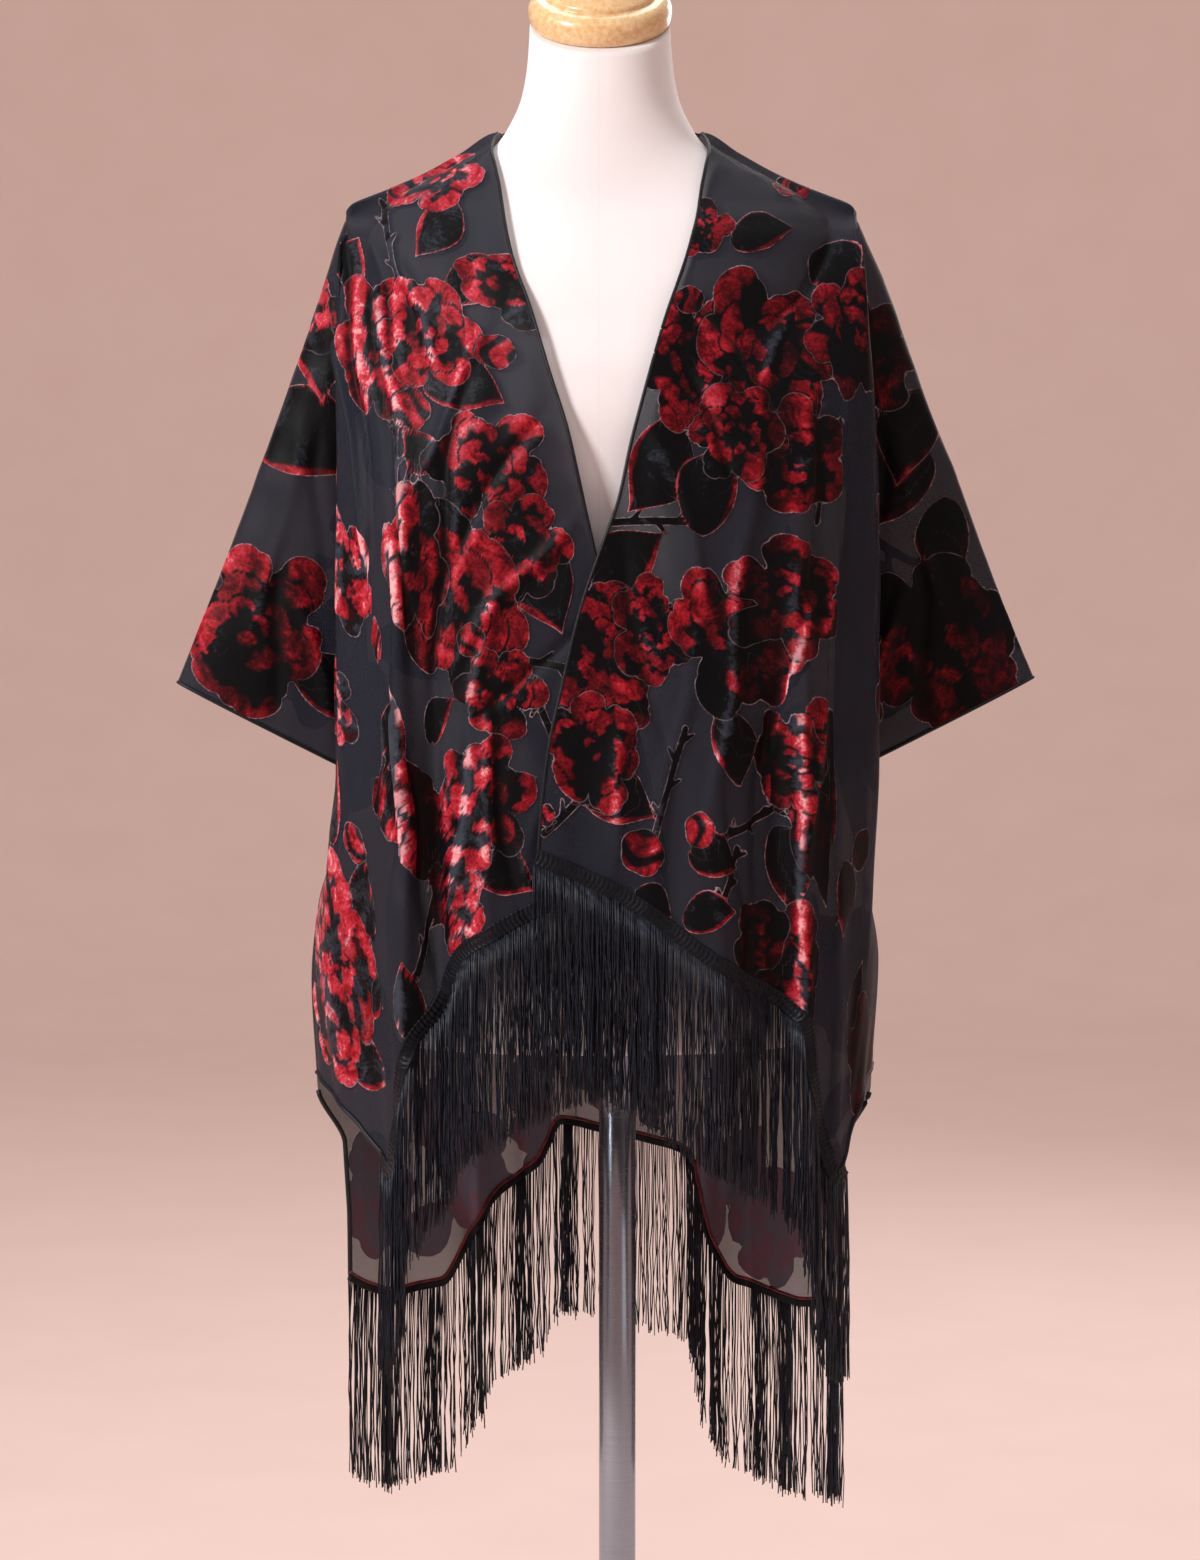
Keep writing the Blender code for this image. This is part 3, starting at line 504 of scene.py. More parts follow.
RIGHT_WIDTHS = Table(rows(
    (0.560, -0.0520, 0.070, 0.1960, 0.2150), (0.672, -0.0520, 0.070, 0.2020, 0.2204),
    (0.744, -0.0520, 0.072, 0.2080, 0.2240), (0.807, -0.0520, 0.074, 0.2100, 0.2174),
    (0.848, -0.0490, 0.075, 0.2074, 0.2040), (0.915, -0.0350, 0.078, 0.2000, 0.1820),
    (0.969, -0.0221, 0.082, 0.1998, 0.1790), (1.037, -0.0055, 0.090, 0.1992, 0.1820),
    (1.083, 0.0052, 0.097, 0.1990, 0.1850), (1.127, 0.0147, 0.104, 0.1988, 0.1870),
    (1.166, 0.0235, 0.109, 0.1990, 0.1890), (1.211, 0.0376, 0.115, 0.1995, 0.1910),
    (1.259, 0.0519, 0.122, 0.1985, 0.1925), (1.298, 0.0657, 0.128, 0.1970, 0.1935),
    (1.335, 0.0730, 0.133, 0.1910, 0.1945), (1.400, 0.0790, 0.133, 0.1840, 0.1955),
))
FRONT_DEPTHS = Table(rows(
    # height, front edge, middle, outer fold
    (0.560, 0.1380, 0.122, 0.050), (0.720, 0.1400, 0.129, 0.046), (0.800, 0.1420, 0.134, 0.045),
    (0.860, 0.1420, 0.135, 0.050), (0.930, 0.1420, 0.135, 0.057), (1.000, 0.1410, 0.134, 0.058),
    (1.100, 0.1410, 0.132, 0.057), (1.200, 0.1400, 0.128, 0.053), (1.250, 0.1400, 0.124, 0.047),
    (1.300, 0.1400, 0.121, 0.035), (1.320, 0.1400, 0.120, 0.025), (1.335, 0.1400, 0.120, 0.009),
    (1.400, 0.1400, 0.120, 0.003),
))
BACK_DEPTHS = Table(rows(
    # height, centre, middle, outer fold
    (0.460, 0.1400, 0.118, 0.050), (0.600, 0.1380, 0.117, 0.050), (0.700, 0.1340, 0.115, 0.048),
    (0.800, 0.1300, 0.113, 0.046), (0.860, 0.1280, 0.112, 0.050), (0.930, 0.1260, 0.110, 0.056),
    (1.000, 0.1240, 0.109, 0.057), (1.100, 0.1220, 0.107, 0.056), (1.200, 0.1200, 0.105, 0.051),
    (1.250, 0.1180, 0.103, 0.046), (1.300, 0.1180, 0.102, 0.034), (1.320, 0.1180, 0.101, 0.024),
    (1.335, 0.1180, 0.100, 0.009), (1.400, 0.1180, 0.100, 0.003),
))
LEFT_HEM = Table(rows(
    # distance from the centre plane, height
    (-0.0480, 0.8580), (-0.0074, 0.8414), (0.0296, 0.8221), (0.0742, 0.7878), (0.1118, 0.7612),
    (0.1490, 0.7350), (0.1590, 0.7226), (0.1630, 0.6803), (0.1710, 0.6483), (0.1838, 0.6090),
    (0.1900, 0.6190), (0.1980, 0.6480), (0.2060, 0.6680), (0.2150, 0.6830),
))
RIGHT_HEM = Table(rows(
    (-0.0520, 0.8440), (0.0000, 0.8352), (0.0511, 0.8143), (0.0839, 0.7952), (0.1026, 0.7800),
    (0.1213, 0.7408), (0.1450, 0.7110), (0.1530, 0.6885), (0.1580, 0.6500), (0.1640, 0.6150),
    (0.1740, 0.6260), (0.1893, 0.6430), (0.2068, 0.6580), (0.2210, 0.6721),
))
BACK_HEM = Table(rows(
    (-0.2060, 0.5180), (-0.1834, 0.4950), (-0.1605, 0.4828), (-0.1293, 0.4845), (-0.1054, 0.5249),
    (-0.0813, 0.5576), (-0.0529, 0.5773), (-0.0326, 0.6150), (0.0000, 0.6061), (0.0408, 0.5978),
    (0.0700, 0.5904), (0.0911, 0.5165), (0.1136, 0.4831), (0.1566, 0.4763), (0.1829, 0.4823),
    (0.1980, 0.4950),
))
# Largest folds: place at the top and at the hem, height where each starts and where it is full, half width,
# and how far it stands out.
LEFT_FOLDS = rows(
    (0.1480, 0.1600, 1.160, 0.980, 0.0130, 0.0180), (0.1800, 0.1800, 0.980, 0.860, 0.0090, 0.0120),
    (0.1250, 0.1300, 1.080, 0.900, 0.0150, -0.0090), (0.0950, 0.0850, 1.000, 0.860, 0.0160, 0.0070),
)
RIGHT_FOLDS = rows(
    (0.1470, 0.1500, 1.240, 1.020, 0.0130, 0.0190), (0.1220, 0.1180, 1.020, 0.860, 0.0130, -0.0130),
    (0.0850, 0.0820, 1.060, 0.880, 0.0150, 0.0080),
)
BACK_FOLDS = rows(
    (-0.1600, -0.1500, 1.100, 0.700, 0.0200, 0.0120), (-0.1100, -0.1000, 1.060, 0.640, 0.0150, -0.0190),
    (-0.0600, -0.0620, 1.150, 0.680, 0.0140, 0.0130), (-0.0300, -0.0300, 0.960, 0.680, 0.0110, -0.0120),
    (0.0200, 0.0120, 1.100, 0.640, 0.0200, 0.0110), (0.0600, 0.0830, 1.060, 0.640, 0.0150, -0.0210),
    (0.1100, 0.1220, 1.100, 0.680, 0.0170, 0.0140), (0.1500, 0.1580, 0.980, 0.640, 0.0110, -0.0090),
)
# Finer creases: place, height, lean from upright in degrees, length, half width, how far each stands out.
LEFT_CREASES = rows(
    (0.085, 1.235, -38, 0.11, 0.0055, 0.0032), (0.070, 1.185, -30, 0.12, 0.0060, -0.0030),
    (0.100, 1.150, -52, 0.09, 0.0050, 0.0028), (0.130, 1.120, -64, 0.08, 0.0050, -0.0026),
    (0.060, 1.090, -22, 0.16, 0.0070, 0.0030), (0.020, 1.000, -16, 0.20, 0.0080, -0.0026),
    (0.050, 0.930, 12, 0.18, 0.0080, 0.0030), (0.100, 1.000, 6, 0.24, 0.0070, 0.0036),
    (0.135, 0.900, 4, 0.24, 0.0065, -0.0036), (0.168, 1.080, 3, 0.20, 0.0050, -0.0036),
    (0.110, 0.850, -10, 0.14, 0.0060, -0.0030), (0.140, 1.250, 20, 0.10, 0.0060, 0.0030),
    (0.160, 1.290, 30, 0.08, 0.0055, -0.0026), (0.000, 0.890, 8, 0.10, 0.0060, 0.0022),
    (0.186, 0.940, 4, 0.30, 0.0045, 0.0040), (0.150, 0.960, 9, 0.22, 0.0040, 0.0034),
)
RIGHT_CREASES = rows(
    (-0.110, 1.190, 28, 0.12, 0.0060, 0.0032), (-0.080, 1.120, 34, 0.14, 0.0060, -0.0030),
    (-0.060, 1.050, 42, 0.14, 0.0060, 0.0032), (-0.045, 0.990, 48, 0.12, 0.0055, -0.0026),
    (-0.120, 1.080, 8, 0.22, 0.0065, -0.0036), (-0.170, 1.120, -4, 0.26, 0.0060, -0.0040),
    (-0.100, 0.930, 10, 0.22, 0.0070, 0.0036), (-0.070, 0.890, -8, 0.16, 0.0065, -0.0030),
    (-0.180, 0.950, 3, 0.24, 0.0055, 0.0034), (-0.165, 0.840, -5, 0.18, 0.0055, -0.0034),
    (-0.140, 1.270, -24, 0.10, 0.0060, 0.0032), (-0.165, 1.250, -14, 0.12, 0.0050, -0.0030),
    (-0.224, 1.190, -2, 0.26, 0.0045, 0.0046), (-0.207, 1.190, -2, 0.24, 0.0048, -0.0042),
    (-0.176, 0.960, 1, 0.20, 0.0042, 0.0036), (-0.192, 0.900, 1, 0.26, 0.0050, -0.0034),
    (-0.030, 0.920, 14, 0.14, 0.0060, 0.0022),
)
BACK_CREASES = rows(
    (-0.140, 1.240, 22, 0.14, 0.0080, 0.0030), (0.135, 1.230, -24, 0.14, 0.0080, 0.0030),
    (-0.080, 1.120, 12, 0.24, 0.0090, -0.0036), (0.070, 1.110, -14, 0.24, 0.0090, -0.0036),
    (0.000, 1.060, 3, 0.30, 0.0090, 0.0040), (-0.130, 0.960, 6, 0.30, 0.0080, 0.0044),
    (0.140, 0.940, -5, 0.30, 0.0080, 0.0044), (-0.045, 0.840, -8, 0.26, 0.0075, -0.0044),
    (0.045, 0.820, 9, 0.26, 0.0075, -0.0044), (-0.160, 0.700, 4, 0.24, 0.0070, -0.0044),
    (0.165, 0.690, -4, 0.24, 0.0070, -0.0044), (0.100, 0.660, 6, 0.20, 0.0070, 0.0040),
    (-0.075, 0.680, -7, 0.20, 0.0070, 0.0040), (0.010, 0.700, 2, 0.16, 0.0070, -0.0034),
)
SLEEVE_CREASES = rows(
    (0.120, 0.030, 80, 0.14, 0.0060, 0.0024), (0.180, 0.050, 70, 0.16, 0.0060, -0.0024),
    (0.240, 0.040, 84, 0.14, 0.0060, 0.0026), (0.300, 0.060, 76, 0.16, 0.0060, -0.0026),
    (0.330, 0.100, 60, 0.12, 0.0060, 0.0024), (0.200, -0.050, 76, 0.16, 0.0060, 0.0026),
    (0.280, -0.080, 70, 0.16, 0.0060, -0.0026), (0.340, -0.050, 80, 0.12, 0.0060, 0.0024),
)


def sheet_mesh(
    name: str, grid: FloatArray, closed_round: bool, capped: bool = False, turned: bool = False
) -> Piece:
    """Puts a grid of points into a mesh of squares, shaded smooth.

    A capped mesh is closed. Its faces are turned out by the sign of its volume, summed over its squares as
    each one's middle dotted with the cross product of its diagonals.

    Args:
        name: The piece's name.
        grid: Points by row and column.
        closed_round: Whether the last column joins the first.
        capped: Whether the first and last rows are filled.
        turned: Whether an open sheet's faces are turned over.

    Returns:
        The object, at the origin.
    """
    count, columns = grid.shape[:2]
    last = columns if closed_round else columns - 1
    i, j = np.meshgrid(np.arange(count - 1), np.arange(last), indexing="ij")
    k = (j + 1) % columns
    row, after = i * columns, (i + 1) * columns
    quads = np.stack([row + j, row + k, after + k, after + j], axis=-1).reshape(-1, 4)
    points = grid.reshape(-1, 3)
    if capped:
        corner = points[quads] - points.mean(axis=0)
        normal = np.cross(corner[:, 2] - corner[:, 0], corner[:, 3] - corner[:, 1])
        turned = (corner.mean(axis=1) * normal).sum() < 0
    faces = (quads[:, ::-1] if turned else quads).tolist()
    if capped:
        ends = [list(range(columns - 1, -1, -1)), list(range((count - 1) * columns, count * columns))]
        faces += [end[::-1] if turned else end for end in ends]
    mesh = bpy.data.meshes.new(name)
    mesh.from_pydata(points.tolist(), [], faces)
    smooth = np.ones(len(mesh.polygons), dtype=bool)
    if capped:
        smooth[-2:] = False
    mesh.polygons.foreach_set("use_smooth", smooth)
    mesh.update()
    made = bpy.data.objects.new(name, mesh)
    bpy.context.scene.collection.objects.link(made)
    return made


def normals(grid: FloatArray, outward: FloatArray) -> FloatArray:
    """Unit normals of a grid: the cross product of its slopes both ways, turned towards outward."""
    along = np.gradient(grid, axis=0)
    side = np.gradient(grid, axis=1)
    normal = unit(np.cross(along, side))
    return normal * np.where((normal * outward).sum(axis=-1, keepdims=True) < 0, -1.0, 1.0)


def fold_height(table: FloatArray, x: FloatArray, z: FloatArray) -> FloatArray:
    """The largest folds: each a peaked bell across, exp of minus a power, that fades in downwards."""
    out = np.zeros(x.shape)
    for top_x, hem_x, start, full, half, rise in table:
        along = np.clip((start - z) / (start - 0.6), 0.0, 1.0)
        centre = top_x + (hem_x - top_x) * along
        away = np.sqrt(((x - centre) / half) ** 2 + 0.012)
        out = out + rise * soft_step(-start, -full, -z) * np.exp(-(away**1.45))
    return out


def crease_height(table: FloatArray, u: FloatArray, v: FloatArray) -> FloatArray:
    """Finer creases: each a bell across its own line and a longer bell along it, with a slight waver.

    Args:
        table: A row per crease.
        u: Place across the cloth.
        v: Place up the cloth.

    Returns:
        How far the cloth stands out at each place.
    """
    out = np.zeros(u.shape)
    for at_u, at_v, lean, length, half, rise in table:
        turn = math.radians(lean)
        along = (u - at_u) * math.sin(turn) + (v - at_v) * math.cos(turn)
        aside = (u - at_u) * math.cos(turn) - (v - at_v) * math.sin(turn)
        aside = aside + 0.004 * np.sin(38 * along + 60 * at_u)
        out = out + rise * np.exp(-((aside / half) ** 2)) * np.exp(-((along / (0.55 * length)) ** 4))
    slow = 0.0009 * np.sin(95 * u + 14 * v + 1.0) + 0.0007 * np.sin(150 * u - 21 * v + 2.0)
    return out + slow * (0.6 + 0.4 * np.sin(17 * v + 9 * u))


def armhole(z: FloatArray) -> FloatArray:
    """Half the armhole's opening: half an oval, drawn narrower towards its bottom."""
    up = (z - ARMHOLE_BOTTOM) / (ARMHOLE_TOP - ARMHOLE_BOTTOM)
    return ARMHOLE_HALF * narrowing(up) * np.sqrt(np.clip(1 - (2 * up - 1) ** 2, 0.0, 1.0))


def narrowing(up: FloatArray) -> FloatArray:
    """Width against the width at the top: four tenths at the bottom, rising evenly."""
    return 0.40 + 0.60 * np.clip(up, 0.0, 1.0)


def reach(drop: FloatArray, full: float) -> FloatArray:
    """Part of the depth reached this far below the shoulder: one less the square of what is left."""
    return 1 - (1 - np.clip(drop / full, 0.0, 1.0)) ** 2


def cloth_places(grid: FloatArray, reference: int) -> tuple[FloatArray, FloatArray]:
    """Places on the cloth by length along its rows and columns.

    Args:
        grid: Points by row and column.
        reference: The column whose own x starts the count across.

    Returns:
        Place across and place up, in metres. Up is the height at the bust, and is counted along the cloth
        from there.
    """
    across_step = np.linalg.norm(np.diff(grid, axis=1), axis=-1)
    arc = np.concatenate([np.zeros((len(grid), 1)), np.cumsum(across_step, axis=1)], axis=1)
    towards = np.sign(grid[:, -1:, 0] - grid[:, :1, 0])
    u = grid[:, reference, 0][:, None] - WEAR_X + towards * (arc - arc[:, reference][:, None])
    down_step = np.linalg.norm(np.diff(grid, axis=0), axis=-1)
    down = np.concatenate([np.zeros((1, grid.shape[1])), np.cumsum(down_step, axis=0)], axis=0)
    level = np.argmin(np.abs(grid[..., 2] - BUST_LEVEL), axis=0)
    columns = np.arange(grid.shape[1])
    v = grid[level, columns, 2] + down[level, columns] - down
    return u, v


@dataclass
class Panel:
    """A flat-cut panel of the cardigan, as a grid of points on its middle surface."""

    name: str
    node: str
    widths: tuple[Table, ...]
    hem: Table
    fold_rows: FloatArray
    crease_rows: FloatArray
    pattern: Pattern
    side: int
    columns: int
    lines: int
    flat: tuple[float, float]
    flat_area: float
    front_knots: tuple[float, ...] = (0.0, 0.44, 0.84, 1.0)
    back_knots: tuple[float, ...] = (0.0, 0.085, 0.235, 0.5, 0.765, 0.915, 1.0)
    lap_half: float = 0.0052
    reference: float = 0.44

    def row_places(self) -> FloatArray:
        """Rows from the shoulder to the hem, closer at the shoulder: a blend of t and its power 1.6."""
        t = np.linspace(0.0, 1.0, self.lines)
        return 0.62 * t + 0.38 * t**1.6

    def width_at(self, s: FloatArray, z: FloatArray) -> FloatArray:
        """Distance from the centre plane of a column at a height, through its section's named widths."""
        if self.side == 0:
            right, left = self.widths
            middle = np.full(z.shape, 0.118)
            narrow = 1 - BACK_NARROWING * soft_step(-SEAM_END, -0.615, -z)
            controls = [-right.read(4, z) * narrow, -right.read(3, z) * narrow, -middle, 0 * middle, middle]
            controls += [left.read(3, z) * narrow, left.read(4, z) * narrow]
            return across(self.back_knots, np.stack(controls), s)
        return across(self.front_knots, np.stack([self.widths[0].read(k, z) for k in (1, 2, 3, 4)]), s)

    def middle_surface(self) -> tuple[FloatArray, FloatArray, FloatArray, FloatArray]:
        """The panel hung from the shoulder line to its hem.

        Height runs evenly from the shoulder line to the hem along each column. Depth is the section's depth
        times the part reached below the shoulder, with the largest folds added.

        Returns:
            Points by row and column about the centre plane, the parts across and down, and the folds' height.
        """
        s, t = np.meshgrid(np.linspace(0.0, 1.0, self.columns), self.row_places())
        top_x = self.width_at(s, np.full(s.shape, TOP_LEVEL))
        top_z = SHOULDER.read(1, np.abs(top_x))
        low = BACK_HEM_LEVEL if self.side == 0 else FRONT_HEM_LEVEL
        z = top_z + (self.hem.read(1, self.width_at(s, np.full(s.shape, low))) - top_z) * t
        x = self.width_at(s, z)
        start = soft_step(0.0, 0.04, top_z - z)
        folds = fold_height(self.fold_rows, x, z) * start
        if self.side == 0:
            neck = np.sqrt(np.clip(1 - (top_x / NECK_HALF_WIDTH) ** 2, 0.0, 1.0)) * NECK_BACK_DEPTH
            part = reach(top_z - z, 0.20)
            seam = armhole(z) + GAP + 0.022 * soft_step(-SEAM_END, -0.50, -z)
            fold = BACK_DEPTHS.read(3, z) + GAP
            middle = BACK_DEPTHS.read(2, z) * part + GAP
            centre = np.maximum(neck + (BACK_DEPTHS.read(1, z) - neck) * part + GAP, middle)
            depth = across(self.back_knots, np.stack([seam, fold, middle, centre, middle, fold, seam]), s)
            depth = np.where(t == 0, GAP + neck, depth)
            return np.stack([x, depth + folds, z], axis=-1), s, t, folds
        part = reach(top_z - z, 0.27)
        controls = [FRONT_DEPTHS.read(1, z) * part + GAP, FRONT_DEPTHS.read(2, z) * part + GAP]
        controls += [FRONT_DEPTHS.read(3, z) + GAP, armhole(z) + GAP]
        depth = np.where(t == 0, GAP, across(self.front_knots, np.stack(controls), s))
        lap = self.lap_half * soft_step(-1.165, -1.105, -z) * (1 - soft_step(0.085, 0.130, x))
        depth = depth + folds + self.side * lap
        return np.stack([self.side * x, -depth, z], axis=-1), s, t, folds

    def grid(self) -> tuple[FloatArray, FloatArray]:
        """The middle surface with its finer creases, clear of the form.

        Returns:
            Points by row and column in the object's frame, and how far folds and creases stand out.
        """
        points, s, t, folds = self.middle_surface()
        points = self.held(points, FORM.cleared(points, FOLD_CLEARANCE), t)
        facing = np.array([0.0, 1.0 if self.side == 0 else -1.0, 0.0])
        normal = normals(points, facing)
        u, v = cloth_places(points + np.array([WEAR_X, 0, 0]), self.reference_column())
        height = crease_height(self.crease_rows, u, v)
        seam = soft_step(0.0, 0.05, 1 - s) if self.side else soft_step(0.0, 0.03, np.minimum(s, 1 - s))
        height = height * soft_step(0.0, 0.05, t) * seam
        points = points + normal * height[..., None]
        points = self.held(points, FORM.cleared(points, CREASE_CLEARANCE), t)
        return points + np.array([WEAR_X, 0.0, 0.0]), folds + CREASE_WEIGHT * height

    def reference_column(self) -> int:
        """The column whose own place starts the count across the cloth."""
        return int(round((0.5 if self.side == 0 else self.reference) * (self.columns - 1)))

    @staticmethod
    def held(points: FloatArray, clear: FloatArray, t: FloatArray) -> FloatArray:
        """Keeps the shoulder seam where it is, only lifted clear."""
        seam = (t == 0)[..., None] & (np.abs(points[..., 0:1]) > NECK_HALF_WIDTH + 0.002)
        lifted = points.copy()
        lifted[..., 2] = np.maximum(points[..., 2], clear[..., 2])
        return np.where(seam, lifted, clear)

    def build(self, finish: ClothSides) -> tuple[Piece, FloatArray]:
        """Makes the panel as a thin shell with its pattern on it.

        Args:
            finish: The cloth's right and wrong sides.

        Returns:
            The piece and its grid of points.
        """
        grid, relief = self.grid()
        u, v = cloth_places(grid, self.reference_column())
        normal = normals(grid, np.array([0.0, 1.0 if self.side == 0 else -1.0, 0.0]))
        # The fourth number is painted light: painted highlight on ridges and on slopes turned up or to -X,
        # painted shade in troughs.
        values = self.pattern.values(u, v, painted_nap_light(normal, relief))
        raised = grid + normal * (PILE_RISE * soft_step(-0.6, 0.9, values[..., 0]))[..., None]
        flatter = 1.0 if self.side else 1 - 0.15 * soft_step(-0.74, -0.64, -grid[..., 2])
        layers = gathered(normal) * flatter
        made = cloth_piece(self.name, raised, values, layers, False, self.side == 1, finish)
        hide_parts(self.node)
        return made, grid


def painted_nap_light(normal: FloatArray, relief: FloatArray) -> FloatArray:
    """Painted light on the nap: painted highlight on sharp ridges and where the cloth turns up or to -X,
    painted shade in troughs.
    """
    calm = np.moveaxis(smoothed(np.moveaxis(relief, 1, 0), 26), 0, 1)
    sharp = np.clip((relief - calm) / 0.0034, -1.0, 1.3)
    return np.clip(0.38 + 0.30 * sharp - 0.34 * normal[..., 0] + 0.16 * normal[..., 2], 0.0, 1.0)


def gathered(normal: FloatArray) -> FloatArray:
    """How much cloth one looks through: one over the cosine of a place's normal with the calm panel's."""
    calm = normal
    for axis in (0, 1):
        calm = np.moveaxis(smoothed(np.moveaxis(calm, axis, 0), 120), 0, axis)
    return 1 / np.clip((unit(calm) * normal).sum(axis=-1), 0.45, 1.0)


def cloth_piece(
    name: str, grid: FloatArray, values: FloatArray, layers: FloatArray, closed_round: bool, turned: bool,
    finish: ClothSides,
) -> Piece:
    """A cloth shell from its grid, with the pattern's numbers as an attribute.

    Args:
        name: The piece's name.
        grid: Points by row and column.
        values: The pattern's four numbers at each point.
        layers: How much cloth one looks through at each point.
        closed_round: Whether the last column joins the first.
        turned: Whether the grid's faces have to be turned over to face out.
        finish: The cloth's right and wrong sides.

    Returns:
        The piece, riding on the body.
    """
    made = sheet_mesh(name, grid, closed_round, turned=turned)
    pattern = made.data.attributes.new("pattern", "FLOAT_COLOR", "POINT")
    pattern.data.foreach_set("color", values.reshape(-1).astype(np.float32))
    depth = made.data.attributes.new("layers", "FLOAT", "POINT")
    depth.data.foreach_set("value", layers.reshape(-1).astype(np.float32))
    made.data.materials.append(finish[0])
    made.data.materials.append(finish[1])
    wall = made.modifiers.new("cloth_wall", "SOLIDIFY")
    wall.thickness = CLOTH_WALL
    wall.offset = 0.0
    wall.material_offset = 1
    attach(made, "root")
    return made


@dataclass
class Sleeve:
    """A wide flat sleeve: a narrow pointed oval at each part of the way from the armhole to the cuff."""

    name: str
    node: str
    side: int
    table: Table
    pattern: Pattern
    flat: tuple[float, float] = (0.48, 0.38)
    flat_area: float = 0.068
    around: int = 128
    along: int = 140

    def rings(self, front_edge: FloatArray, back_edge: FloatArray) -> FloatArray:
        """Rings of the sleeve, the first drawn to just inside the panels' edges at the armhole.

        Args:
            front_edge: The front's side edge, top to bottom.
            back_edge: The back's side edge, top to bottom.

        Returns:
            Points by ring and place round it.
        """
        turns = np.linspace(0, math.tau, self.around, endpoint=False)
        u, angle = np.meshgrid(np.linspace(0.0, 1.0, self.along), turns, indexing="ij")
        top_x, top_z, low_x, low_z, half = (self.table.read(k, u) for k in (1, 2, 3, 4, 5))
        part = (1 + np.cos(angle)) / 2
        x = low_x + (top_x - low_x) * part
        z = low_z + (top_z - low_z) * part
        y = -half * narrowing(part) * np.sin(angle)
        rings = np.stack([self.side * x + WEAR_X, y, z], axis=-1)
        root = rings[0]
        seated = root.copy()
        for edge, half_round in ((front_edge, root[:, 1] < 0), (back_edge, root[:, 1] >= 0)):
            edge_x = np.interp(root[:, 2], edge[::-1, 2], edge[::-1, 0])
            edge_y = np.interp(root[:, 2], edge[::-1, 2], edge[::-1, 1])
            inset = np.sign(edge_y) * np.minimum(np.abs(edge_y), 0.0009)
            seated[half_round, 0] = edge_x[half_round] + self.side * 0.0006
            seated[half_round, 1] = (edge_y - inset)[half_round]
        rings = rings + (seated - root)[None] * np.clip(1 - u / 0.16, 0.0, 1.0)[..., None]
        p, q = self.places(rings)
        middle = rings.mean(axis=1, keepdims=True)
        normal = normals(np.concatenate([rings, rings[:, :1]], axis=1), np.zeros(3) + 1e-9)[:, :-1]
        facing = np.sign(((rings - middle) * normal).sum(axis=-1, keepdims=True))
        height = crease_height(SLEEVE_CREASES, p, q) * soft_step(0.05, 0.25, u) * np.abs(np.sin(angle)) ** 0.5
        self.normal = normal * facing
        self.relief = CREASE_WEIGHT * height
        return rings + self.normal * height[..., None]

    def places(self, rings: FloatArray) -> tuple[FloatArray, FloatArray]:
        """Places on the sleeve: along its upper fold, and away from that fold, negative on the back."""
        top = np.array([self.side * 0.200 + WEAR_X, 1.335])
        tip = np.array([self.side * 0.330 + WEAR_X, 0.978])
        along = (tip - top) / np.linalg.norm(tip - top)
        aside = np.array([along[1], -along[0]]) * self.side
        flat = rings[..., [0, 2]] - top
        back = np.where(rings[..., 1] > 0, -1.0, 1.0)
        return flat @ along, (flat @ aside) * back

    def build(self, front_edge: FloatArray, back_edge: FloatArray, finish: ClothSides) -> Piece:
        """Makes the sleeve as a thin shell with its pattern.

        Args:
            front_edge: The front's side edge.
            back_edge: The back's side edge.
            finish: The cloth's right and wrong sides.

        Returns:
            The piece.
        """
        rings = self.rings(front_edge, back_edge)
        p, q = self.places(rings)
        # Painted shade: the sleeves' painted light is lowered, most on the left sleeve, on the +X side away
        # from the key light.
        painted_sleeve_shade = 0.12 + 0.05 * self.side
        values = self.pattern.values(p, q, np.clip(painted_nap_light(self.normal, self.relief) - painted_sleeve_shade, 0.0, 1.0))
        made = cloth_piece(self.name, rings, values, 1 + 0 * p, True, self.side == -1, finish)
        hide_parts(self.node)
        self.cuff = np.concatenate([rings[-1], rings[-1][:1]])
        return made


def tube(name: str, path: FloatArray, radius: float, finish: Finish) -> Piece:
    """A cord-like bead along a path: a circle in the plane across the path's own direction.

    Args:
        name: The piece's name.
        path: Points along the middle.
        radius: The bead's radius.
        finish: Its material.

    Returns:
        The piece, riding on the body.
    """
    tangent = unit(np.gradient(path, axis=0))
    helper = np.where(np.abs(tangent[:, 2:3]) > 0.9, rows((1.0, 0.0, 0.0)), rows((0.0, 0.0, 1.0)))
    side = unit(np.cross(tangent, helper))
    other = np.cross(tangent, side)
    angle = np.linspace(0, math.tau, BEAD_SIDES, endpoint=False)[None, :, None]
    grid = path[:, None] + radius * (np.cos(angle) * side[:, None] + np.sin(angle) * other[:, None])
    made = sheet_mesh(name, grid, True, capped=True)
    made.data.materials.append(finish)
    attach(made, "root")
    return made


